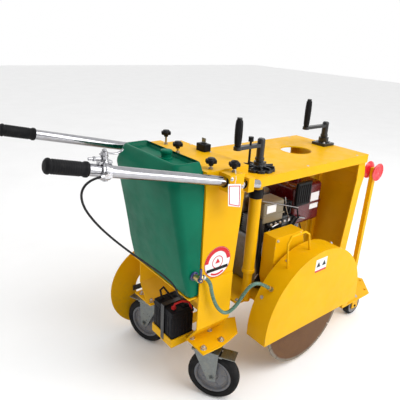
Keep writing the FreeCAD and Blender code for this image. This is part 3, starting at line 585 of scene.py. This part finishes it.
# opening rim and deck beads
bm = bmesh.new()
add_lathe(bm, [(65.2, 849.6), (66, 850.9), (69, 851.2), (71, 850.4), (71.5, 849.6)], (568, 0, 0), (0, 0, 1), 72)
done("deck_opening_rim", bm, "yellow_paint", "chassis", angle=60)


def bead(bm, a, b_, r=2.4, n=None):
    a, b_ = Vector(a), Vector(b_)
    L = (b_ - a).length
    n = n or max(4, int(L / 4))
    pts, rr = [], []
    for i in range(n + 1):
        pts.append(K(*(a + (b_ - a) * i / n)))
        rr.append((r + 0.5 * math.sin(i * 2.1) + random.uniform(-0.25, 0.25)) / 1000.0)
    add_tube(bm, pts, rr, 8)


bm = bmesh.new()
bead(bm, (101, -189, 846), (101, 189, 846))
for s in (-1, 1):
    bead(bm, (-88, s * 140, 247), (92, s * 140, 247))
    bead(bm, (-86, s * 194, 511), (60, s * 192, 511), 2)
    bead(bm, (98, s * 188, 851), (98, s * 188, 896), 2)
bead(bm, (744, -12, 400), (748, -12, 800))
bead(bm, (140, 144, 288), (700, 144, 288), 1.8)
done("frame_weld_beads", bm, "yellow_paint", "chassis", angle=80)

# rounded outer bends of the folded sheets
bm = bmesh.new()
for s in (-1, 1):
    add_tube(bm, [K(101, s * 199.2, 849.2), K(804, s * 199.2, 849.2)], 0.0012, 10)
done("deck_fold_radius", bm, "yellow_paint", "chassis", angle=80)

# blank plates and generic marks
bm = bmesh.new()
tag = [(-30.1, 800.2), (-37.3, 873.8), (17.7, 864.4), (22.3, 785.9)]
lo = [bm.verts.new(K(x, -246.0, z)) for x, z in tag]
hi = [bm.verts.new(K(x, -246.8, z)) for x, z in tag]
for i in range(4):
    j = (i + 1) % 4
    bm.faces.new((lo[i], lo[j], hi[j], hi[i]))
bm.faces.new(lo[::-1])
bm.faces.new(hi)
done("blank_tag", bm, "label_white", "chassis", 0.1)
bm = bmesh.new()
for a, b_ in (((-25, 805), (-31, 866)), ((-31, 866), (12, 859)), ((12, 859), (17, 791)), ((17, 791), (-25, 805))):
    add_tube(bm, [K(a[0], -246.9, a[1]), K(b_[0], -246.9, b_[1])], 0.0013, 8)
done("blank_tag_border", bm, "label_red", "chassis", angle=60)
bm = bmesh.new()
add_tube(bm, [K(-9, -246.4, 867), K(-4, -245, 884), K(4, -232, 902), K(11, -224, 906)], 0.0008, 8)
done("blank_tag_string", bm, "label_white", "chassis", angle=60)
bm = bmesh.new()
add_lathe(bm, [(0, 0.0), (58, 0.0), (58, 0.5), (0, 0.6)], (-6, -190.0, 570), (0, -1, 0), 64)
done("leg_round_plate", bm, "label_white", "chassis", angle=40)


def sector(bm, r0, r1, a0, a1, y, n=28):
    """Flat ring sector on the right leg, angles in degrees."""
    rows = []
    for i in range(n + 1):
        a = math.radians(a0 + (a1 - a0) * i / n)
        rows.append([bm.verts.new(K(-6 + r * math.cos(a), yy, 570 + r * math.sin(a))) for r, yy in ((r0, y), (r1, y), (r1, y + 0.5), (r0, y + 0.5))])
    for p, q in zip(rows, rows[1:]):
        for k in range(4):
            bm.faces.new((p[k], p[(k + 1) % 4], q[(k + 1) % 4], q[k]))
    bm.faces.new(rows[0][::-1])
    bm.faces.new(rows[-1])


bm = bmesh.new()
sector(bm, 41, 55, 4, 176, -191.0)
sector(bm, 21, 24, 0, 359.9, -191.0, 48)
sector(bm, 55.8, 58, 0, 359.9, -191.05, 64)
sector(bm, 44, 51, 236, 304, -191.0)
add_cyl(bm, (-6, -190.4, 572), (0, -1, 0), 12, 0.6, 3)
done("leg_round_plate_ring", bm, "label_red", "chassis", angle=40)
bm = bmesh.new()
add_box(bm, -53, 41, -191.2, -190.4, 538, 550)
done("leg_round_plate_band", bm, "black_plastic", "chassis", 0.1)
bm = bmesh.new()
add_box(bm, 600, 656, -88.7, -88, 600, 676)
done("fuel_tank_label", bm, "label_white", "saw_carriage", 0.2)
bm = bmesh.new()
add_box(bm, 300, 352, -114.8, -112, 652, 684)
done("air_filter_label", bm, "label_white", "saw_carriage", 0.2)

# ---------------------------------------------------------------- blade guard
bm = bmesh.new()
arc = [K(440 + 289 * math.cos(math.radians(a)), -308.2, 250 + 289 * math.sin(math.radians(a))) for a in range(0, 181, 3)]
add_tube(bm, [K(729, -308.2, 219)] + arc + [K(151, -308.2, 219)], 0.0016, 8)
arc = [K(440 + 289 * math.cos(math.radians(a)), -216, 250 + 289 * math.sin(math.radians(a))) for a in range(0, 181, 3)]
add_tube(bm, arc, 0.0016, 8)
done("guard_seam_beads", bm, "yellow_paint", "saw_carriage", angle=80)
bm = bmesh.new()
for a in (28, 62, 118, 152):
    p = (440 + 290 * math.cos(math.radians(a)), -240, 250 + 290 * math.sin(math.radians(a)))
    hexbolt(bm, p, (math.cos(math.radians(a)), 0, math.sin(math.radians(a))), 5, 3.5)
for x in (290, 460):
    hexbolt(bm, (x, -200, 200 if x > 400 else 430), (0, -1, 0), 5, 3.5)
for x, z in ((285, 575), (418, 575), (285, 420), (480, 300)):
    hexbolt(bm, (x, -200, z), (0, -1, 0), 4.5, 3.2)
hexbolt(bm, (425, -299, 240), (0, -1, 0), 6, 2, False)
done("guard_fasteners", bm, "bolt_zinc", "saw_carriage", 0.3)

# ---------------------------------------------------------------- engine trim
bm = bmesh.new()
for i in range(9):
    add_box(bm, 326, 462, -108, -90, 528 + i * 8, 531 + i * 8)
for i in range(6):
    add_box(bm, 310 + i * 12, 313 + i * 12, -114, -108, 380, 500)
add_cyl(bm, (350, -112, 500), (0, -1, 0), 34, 10, 40)
for i in range(6):
    a = i * math.pi / 3
    hexbolt(bm, (350 + 44 * math.cos(a), -110, 480 + 44 * math.sin(a)), (0, -1, 0), 4, 4, False)
add_cyl(bm, (470, -106, 440), (0, -1, 0), 16, 12, 28)
done("engine_fins", bm, "cast_aluminium", "saw_carriage", 0.8)
bm = bmesh.new()
add_loft(bm, [rrect(470, 520, (-112, -60), 8, z) for z in (330, 420, 500)])
add_cyl(bm, (480, -60, 580), (0, -1, 0), 22, 46, 32)
add_cyl(bm, (440, -60, 650), (0, -1, 0), 13, 40, 24)
add_box(bm, 404, 470, -96, -40, 612, 668)
for x in (420, 436, 452):
    add_box(bm, x, x + 6, -102, -94, 616, 664)
done("engine_black_trim", bm, "black_plastic", "saw_carriage", 2.0, seg=3)
bm = bmesh.new()
add_tube(bm, [K(262, -118, 716), K(330, -118, 694), K(420, -116, 664), K(492, -112, 640)], 0.0026, 10)
add_tube(bm, [K(408, -108, 700), K(420, -108, 650), K(446, -108, 600)], 0.002, 10)
add_tube(bm, [K(300, -122, 560), K(318, -124, 480), K(300, -124, 420), K(262, -124, 380)], 0.0028, 10)
add_cyl(bm, (520, -100, 585), (1, 0, -0.3), 5, 40, 16)
done("engine_linkage_rods", bm, "chrome_tube", "saw_carriage", angle=60)
bm = bmesh.new()
add_tube(bm, [K(470, -84, 640), K(500, -104, 628), K(506, -108, 590), K(476, -108, 556), K(458, -98, 548)], 0.0036, 10)
add_tube(bm, [K(290, -104, 600), K(276, -112, 540), K(286, -118, 470), K(300, -112, 420)], 0.0042, 10)
add_tube(bm, [K(560, -80, 538), K(540, -108, 520), K(500, -114, 524), K(470, -100, 540)], 0.003, 10)
done("engine_wiring", bm, "cable_black", "saw_carriage", angle=60)
bm = bmesh.new()
add_loft(bm, [rrect(484, 574, (-108, -93), 6, z) for z in (642, 644, 736, 742)])
for i in range(6):
    add_box(bm, 492 + i * 13, 499 + i * 13, -111, -106, 652, 730)
add_loft(bm, [rrect(300, 400, (-116, -108), 4, z) for z in (560, 562, 606, 608)])
add_cyl(bm, (318, -116, 520), (0, -1, 0), 20, 9, 32)
add_cyl(bm, (318, -116, 520), (0, -1, 0), 9, 13, 20)
add_tube(bm, [K(262, -118, 640), K(272, -122, 560), K(268, -122, 480), K(284, -120, 400), K(276, -118, 340)], 0.009, 14)
add_tube(bm, [K(300, -118, 610), K(340, -124, 580), K(392, -122, 560), K(440, -116, 566), K(480, -112, 600)], 0.006, 12)
done("engine_shroud", bm, "black_plastic", "saw_carriage", 0.8)
bm = bmesh.new()
for i in range(5):
    add_cyl(bm, (330 + i * 26, -112, 600), (0, -1, 0), 7, 8, 6)
add_cyl(bm, (372, -112, 470), (0, -1, 0), 22, 8, 36)
add_cyl(bm, (372, -119, 470), (0, -1, 0), 10, 5, 6)
add_cyl(bm, (300, -112, 452), (0, 0, 1), 10, 60, 24)
add_cyl(bm, (300, -112, 512), (0, 0, 1), 6, 12, 6)
add_tube(bm, [K(300, -112, 520), K(304, -118, 560), K(330, -120, 590), K(372, -118, 596)], 0.0028, 10)
done("engine_injector_parts", bm, "bolt_zinc", "saw_carriage", 0.5)
bm = bmesh.new()
add_loft(bm, [rrect(485.5, 680.5, (-92.5, 96.5), 20, z) for z in (627, 629, 634, 636)])
add_lathe(bm, [(0, 740), (20, 740), (26, 736), (28, 730), (28, 722), (0, 722)], (585, 0, 0), (0, 0, 1))
done("fuel_tank_seam", bm, "dark_red", "saw_carriage", angle=50)
bm = bmesh.new()
add_lathe(bm, [(0, 0), (78, 0), (82, 2), (82, 6), (60, 9), (56, 6), (30, 6), (28, 10), (0, 11)], (400, 120, 420), (0, 1, 0), 56)
for i in range(16):
    a = 2 * math.pi * i / 16
    add_box(bm, 400 + 68 * math.cos(a) - 2, 400 + 68 * math.cos(a) + 2, 126, 130, 420 + 68 * math.sin(a) - 8, 420 + 68 * math.sin(a) + 8)
add_tube(bm, [K(470, 128, 500), K(480, 134, 508), K(492, 134, 500), K(498, 128, 490)], 0.005, 12)
done("recoil_starter_face", bm, "black_steel", "saw_carriage", 0.6)
bm = bmesh.new()
for i in range(7):
    add_box(bm, 312 + i * 21, 324 + i * 21, 98, 102.5, 618, 676)
add_box(bm, 308, 462, 99.5, 101.5, 612, 682)
done("muffler_shield", bm, "muffler_steel", "saw_carriage", 1.0)
bm = bmesh.new()
for x in (300, 520):
    for y in (-90, 46):
        hexbolt(bm, (x + (18 if x < 400 else -18), y, 322), (0, 0, 1), 6, 5)
for x in (176, 685):
    for y in (-120, 90):
        hexbolt(bm, (x, y, 308), (0, 0, 1), 6, 5)
done("engine_bolts", bm, "bolt_zinc", "saw_carriage", 0.4)
bm = bmesh.new()
add_cyl(bm, (300, -112, 356), (0, -1, 0), 11, 9, 24)
done("oil_filler_cap", bm, "black_plastic", "saw_carriage", 1.5)

# ---------------------------------------------------------------- battery
bm = bmesh.new()
add_loft(bm, [rrect(-126.5, -29.5, (-103.5, 19.5), 5, z) for z in (338, 342, 348, 351)])
for i in range(6):
    add_cyl(bm, (-57, -87 + i * 17.5, 351), (0, 0, 1), 6.5, 5, 20)
for i in range(7):
    add_box(bm, -126.2 + i * 13, -122 + i * 13, -103.5, -102, 244, 328)
    add_box(bm, -126.6, -125, -97 + i * 16, -91 + i * 16, 244, 328)
done("battery_lid", bm, "battery_black", "chassis", 0.8)
bm = bmesh.new()
add_tube(bm, [K(-106, -82, 361), K(-107, -91, 382), K(-87, -105, 394), K(-57, -107, 382), K(-41, -101, 350), K(-31, -97, 310), K(-27, -90, 262)], 0.004, 12)
add_cyl(bm, (-106, -82, 356), (0, 0, 1), 9, 7, 24)
done("battery_lead_red", bm, "wire_red", "chassis", angle=60)
bm = bmesh.new()
add_tube(bm, [K(-106, -4, 361), K(-103, 13, 382), K(-79, 27, 380), K(-51, 33, 340), K(-41, 27, 290), K(-27, 23, 258)], 0.004, 12)
add_cyl(bm, (-106, -4, 356), (0, 0, 1), 9, 7, 24)
done("battery_lead_black", bm, "cable_black", "chassis", angle=60)
bm = bmesh.new()
add_box(bm, -131.5, -129.5, -57, -37, 212, 362)
add_box(bm, -131.5, -27, -57, -37, 360.5, 363)
add_box(bm, -29.5, -27, -57, -37, 250, 363)
done("battery_strap", bm, "black_steel", "chassis", 0.6)

# ---------------------------------------------------------------- casters
for s, side, ang in ((-1, "right", -57.2), (1, "left", 110.0)):
    ca, sa = math.cos(math.radians(ang)), math.sin(math.radians(ang))

    def W(u, v, z):
        return (-20 + u * ca - v * sa, s * 176 + u * sa + v * ca, z)

    yd = (-sa, ca, 0)
    R = 100.0
    bm = bmesh.new()
    prof = [(72.3, -20), (76, -21.5), (84, -22), (90, -21), (94.5, -18.5), (97.6, -15), (99.2, -10), (99.9, -5), (100, 0), (99.9, 5), (99.2, 10), (97.6, 15),
            (94.5, 18.5), (90, 21), (84, 22), (76, 21.5), (72.3, 20)]
    add_lathe(bm, prof, W(37, 0, 100), yd, 96)
    for v in (-22.0, 22.0):
        add_lathe(bm, [(86, v), (87, v + (0.5 if v > 0 else -0.5)), (88.6, v + (0.5 if v > 0 else -0.5)), (89.4, v * 0.975)], W(37, 0, 100), yd, 96)
    done("caster_tyre_round_" + side, bm, "tyre_rubber", side + "_caster_wheel", replaces=["caster_tyre_" + side], angle=50)
    bm = bmesh.new()
    for sg in (-1, 1):
        for i in range(5):
            a = 2 * math.pi * i / 5
            p = Vector(W(37, 0, 100)) + Vector(yd) * (sg * 10.5) + Vector((ca, sa, 0)) * (42 * math.cos(a)) + Vector((0, 0, 42 * math.sin(a)))
            add_cyl(bm, p, Vector(yd) * sg, 8.5, 1.6, 24)
        q = Vector(W(37, 0, 100)) + Vector(yd) * (sg * 10.2)
        add_lathe(bm, [(52, 0), (53, 1.4), (56, 1.4), (57, 0)], q, Vector(yd) * sg, 64)
        add_lathe(bm, [(21, 0), (22, 2.6), (26, 2.6), (28, 0)], q, Vector(yd) * sg, 48)
    done("caster_hub_detail_" + side, bm, "hub_grey", side + "_caster_wheel", 0.4)
    bm = bmesh.new()
    for sg in (-1, 1):
        p = Vector(W(37, 0, 100)) + Vector(yd) * (sg * 31)
        hexbolt(bm, p, Vector(yd) * sg, 8.5, 5)
        for u, z in ((-22, 200), (34, 200)):
            pass
    add_lathe(bm, [(38.2, 214), (43, 216), (44, 222), (43, 229), (38.2, 231)], W(0, 0, 0), (0, 0, 1), 56)
    done("caster_fork_detail_" + side, bm, "zinc", side + "_caster", 0.5)
    bm = bmesh.new()
    for k in range(5):
        a = Vector(W(80 + 8 * k, -22, 202.6))
        b2 = Vector(W(80 + 8 * k, 22, 202.6))
        add_tube(bm, [K(*a), K(*b2)], 0.0012, 8)
    done("brake_pedal_tread_" + side, bm, "zinc", side + "_pedal", angle=60)

# ---------------------------------------------------------------- front end
bm = bmesh.new()
for s in (-1, 1):
    for x, y in ((800, 140), (800, 230), (880, 232), (1010, 140)):
        hexbolt(bm, (x, s * y, 130), (0, 0, 1), 6, 5)
hexbolt(bm, (880, -213, 180), (0, -1, 0), 6, 2, False)
done("front_fasteners", bm, "bolt_zinc", "front_axle", 0.4)
for s, side in ((-1, "right"), (1, "left")):
    bm = bmesh.new()
    for sg in (-1, 1):
        add_lathe(bm, [(0, 17.2), (10, 17.2), (14, 16.6), (22, 16.2), (34, 16.4), (36, 17.3), (39, 17.3), (41, 16.2)],
                  (922, s * 192, 52), (0, sg, 0), 48)
    done("front_wheel_face_" + side, bm, "hub_grey", side + "_front_wheel", angle=50)
bm = bmesh.new()
for sg in (-1, 1):
    y0 = -195 + sg * 12
    add_lathe(bm, [(6, -1), (16, -1), (26, 0.5), (34, 4), (39, 8.5), (40, 11), (38.5, 12), (34, 9), (24, 6), (14, 9), (9, 11), (0, 11.5)],
              (880, y0, 763), (0, sg, 0), 56)
add_cyl(bm, (880, -207, 763), (0, 1, 0), 6, 24, 24)
done("guide_rollers_dished", bm, "red_paint", "guide_roller", replaces=["guide_wheels"], angle=45)
bm = bmesh.new()
for sg in (-1, 1):
    hexbolt(bm, (880, -195 + sg * 21, 763), (0, sg, 0), 4, 0.4, False)
done("guide_roller_nuts", bm, "bolt_zinc", "guide_roller", 0.2)

# ---------------------------------------------------------------- controls
bm = bmesh.new()
blade = [(-440, 1010.4, 4), (-428, 1010.8, 7.5), (-416, 1010.0, 6), (-404, 1007.4, 4.6), (-394, 1007.0, 4.2), (-386, 1009.2, 4.2), (-380, 1012.6, 4.8), (-376.5, 1015.4, 3)]
secs = []
for x, z, hw in blade:
    secs.append([bm.verts.new(K(x, -216 + hw * math.cos(t), z + 2.3 * math.sin(t))) for t in [2 * math.pi * k / 16 for k in range(16)]])
for p, q in zip(secs, secs[1:]):
    for k in range(16):
        bm.faces.new((p[k], p[(k + 1) % 16], q[(k + 1) % 16], q[k]))
bm.faces.new(secs[0][::-1])
bm.faces.new(secs[-1])
add_lathe(bm, [(3.1, 1006.5), (9, 1006.5), (9, 1015), (7.5, 1016), (3.1, 1016)], (-428, -216, 0), (0, 0, 1), 40)
done("throttle_lever_blade", bm, "chrome_tube", "lever", 0.3, replaces=["throttle_lever"])
bm = bmesh.new()
add_lathe(bm, [(7, 984), (11, 985), (12, 990), (9, 995), (8, 1000), (10, 1004), (10, 1006), (0, 1006)], (-428, -216, 0), (0, 0, 1), 36)
add_box(bm, -446, -410, -224, -208, 985, 992)
add_cyl(bm, (-440, -216, 999), (-1, 0, 0.12), 5, 14, 24)
add_cyl(bm, (-453, -216, 1000.6), (-1, 0, 0.12), 6.4, 6, 6)
add_cyl(bm, (-459, -216, 1001.3), (-1, 0, 0.12), 3.6, 12, 20)
add_cyl(bm, (-434, -216, 998), (1, 0, 0), 6, 14, 20)
add_lathe(bm, [(3.2, 1018), (6, 1018), (6, 1021), (3, 1023), (0, 1023.4)], (-428, -216, 0), (0, 0, 1), 24)
done("lever_perch", bm, "chrome_tube", "right_handle", 0.5)
bm = bmesh.new()
add_loft(bm, [rrect(65, 97, (3, 51), 5, z) for z in (900, 902, 903, 924)] + [rrect(68, 94, (6, 48), 5, 926.5)])
add_lathe(bm, [(7, 926), (11, 926), (11, 928.5), (9, 929.5), (7, 929.5)], (81, 27, 0), (0, 0, 1), 36)
done("switch_box_cover", bm, "black_plastic", "chassis", angle=35)
bm = bmesh.new()
add_lathe(bm, [(22.2, 0), (24.5, 1.5), (24.5, 8), (22.2, 9.5)], (-442 + 6, -216, hz(-436)), HD, 48)
hexbolt(bm, (-432, -239, hz(-432)), (0, -1, 0), 4.5, 3)
done("lever_clamp_band", bm, "chrome_tube", "right_handle", 0.5)
bm = bmesh.new()
for s in (-1, 1):
    for x in (-26, 38.5, 56.5, 85.5):
        add_lathe(bm, [(16.4, -1.2), (19.5, -1.2), (19.5, 1.2), (16.4, 1.2)], (x, s * 216, hz(x)), HD, 48)
done("clamp_bush_rings", bm, "black_plastic", "chassis", 0.3)
bm = bmesh.new()
add_lathe(bm, [(14.2, 886), (17, 886), (17, 894), (14.2, 895)], (218, -125, 0), (0, 0, 1), 36)
add_lathe(bm, [(0, 964), (10, 964), (13, 961), (14, 957), (14, 950)], (218, -125, 0), (0, 0, 1), 36)
done("rear_crank_collar", bm, "black_steel", "rear_crank", 0.3)
bm = bmesh.new()
add_lathe(bm, [(14.2, 890), (16.5, 890), (16.5, 898), (14.2, 899)], (765, 10, 0), (0, 0, 1), 36)
add_lathe(bm, [(0, 955), (10, 955), (13, 952), (14, 948), (14, 944)], (765, 10, 0), (0, 0, 1), 36)
done("front_crank_collar", bm, "black_steel", "front_crank", 0.3)

bm = bmesh.new()
lower, upper = [], []
for i in range(120):
    t = 2 * math.pi * i / 120
    rr = 59.5 - 7.0 * max(0.0, math.cos(10 * t)) ** 3
    lower.append(bm.verts.new(K(218 + rr * math.cos(t), -125 + rr * math.sin(t), 850.2)))
    upper.append(bm.verts.new(K(218 + (rr - 1.5) * math.cos(t), -125 + (rr - 1.5) * math.sin(t), 859.6)))
for i in range(120):
    j = (i + 1) % 120
    bm.faces.new((lower[i], lower[j], upper[j], upper[i]))
bm.faces.new(lower[::-1])
bm.faces.new(upper)
for i in range(10):
    t = 2 * math.pi * (i + 0.5) / 10
    mt = Matrix.Rotation(t, 4, "Z")
    c = (218 + 38 * math.cos(t), -125 + 38 * math.sin(t))
    add_box(bm, c[0] - 18, c[0] + 18, c[1] - 2.5, c[1] + 2.5, 859, 868, mt)
add_lathe(bm, [(10.5, 860), (26, 860), (26, 866), (21, 869), (20.5, 880), (10.5, 880)], (218, -125, 0), (0, 0, 1), 48)
done("crank_index_star", bm, "black_steel", "chassis", 0.6, replaces=["crank_base_rear"])
# painted shade: black bars across the blade at its slots stand in for the dark gaps seen through them
bm = bmesh.new()
for k in range(30):
    t = 2 * math.pi * k / 30
    mt = Matrix.Rotation(-t, 4, "Y")
    c = (425 + 212 * math.cos(t), 240 + 212 * math.sin(t))
    add_box(bm, c[0] - 9, c[0] + 9, -276.75, -273.25, c[1] - 1.3, c[1] + 1.3, mt)
done("blade_slot_shade_marks", bm, "black_steel", "blade_spindle")

# ------------------------------------------------------------------- stage
def stage_mat():
    m, nt, b, tc = tree("studio_floor")
    nt.links.new(ramp(nt, noise(nt, tc.outputs["Object"], 3, 3), [(0.3, (0.94, 0.94, 0.94)), (0.7, (0.97, 0.97, 0.97))]), b.inputs["Base Color"])
    b.inputs["Roughness"].default_value = 0.75
    return m


bm = bmesh.new()
bmesh.ops.create_grid(bm, x_segments=2, y_segments=2, size=14)
me = bpy.data.meshes.new("studio_floor")
bm.to_mesh(me)
bm.free()
me.materials.append(stage_mat())
fl = bpy.data.objects.new("studio_floor", me)
fl.location = (0, 0, -0.0005)
bpy.context.scene.collection.objects.link(fl)

w = bpy.data.worlds.new("studio")
w.use_nodes = True
bg = w.node_tree.nodes["Background"]
wt = w.node_tree
wc = wt.nodes.new("ShaderNodeTexCoord")
wd = wt.nodes.new("ShaderNodeVectorMath")
wd.operation = "DOT_PRODUCT"
wd.inputs[1].default_value = (0.5, 0.62, 0.55)
wt.links.new(wc.outputs["Generated"], wd.inputs[0])
wt.links.new(ramp(wt, math_(wt, "MULTIPLY_ADD", wd.outputs["Value"], 0.5), [(0.0, 0.0), (1.0, 1.0)]), bg.inputs[0])
wt.nodes["Math"].inputs[2].default_value = 0.5
wr = wt.nodes["Color Ramp"].color_ramp
wr.elements[0].position, wr.elements[0].color = 0.3, (0.4, 0.4, 0.405, 1)
wr.elements[1].position, wr.elements[1].color = 0.66, (1, 1, 1, 1)
bg.inputs[1].default_value = 1.0
bpy.context.scene.world = w


def area(name, loc, target, size, power, col=(1, 1, 1)):
    d = bpy.data.lights.new(name, "AREA")
    d.shape = "RECTANGLE"
    d.size = size
    d.size_y = size
    d.energy = power
    d.color = col
    ob = bpy.data.objects.new(name, d)
    ob.location = loc
    ob.rotation_euler = (Vector(target) - Vector(loc)).to_track_quat("-Z", "Y").to_euler()
    bpy.context.scene.collection.objects.link(ob)


area("key", (0.7, -2.3, 3.5), (0.1, 0, 0.4), 2.4, 88)
area("fill", (-3.2, 0.4, 1.8), (0, 0, 0.5), 2.2, 2)
area("side", (2.0, -3.2, 1.6), (0.1, 0, 0.5), 2.0, 42)

# ------------------------------------------------------------------ camera
cam = bpy.data.cameras.new("view")
cam.sensor_width = 36
cam.lens = 39.33
cam.clip_end = 60
co = bpy.data.objects.new("view", cam)


def view_matrix():
    yaw, pit, rol = math.radians(51.0), math.radians(21.0), math.radians(-3.1)
    fwd = Vector((math.cos(yaw) * math.cos(pit), math.sin(yaw) * math.cos(pit), -math.sin(pit)))
    right = Vector((math.sin(yaw), -math.cos(yaw), 0))
    down = fwd.cross(right)
    r2 = math.cos(rol) * right + math.sin(rol) * down
    d2 = -math.sin(rol) * right + math.cos(rol) * down
    mt = Matrix((r2, -d2, -fwd)).transposed().to_4x4()
    mt.translation = K(-893, -1172, 1300)
    return mt


co.matrix_world = view_matrix()
bpy.context.scene.collection.objects.link(co)
bpy.context.scene.camera = co
bpy.context.scene.view_settings.view_transform = "Standard"
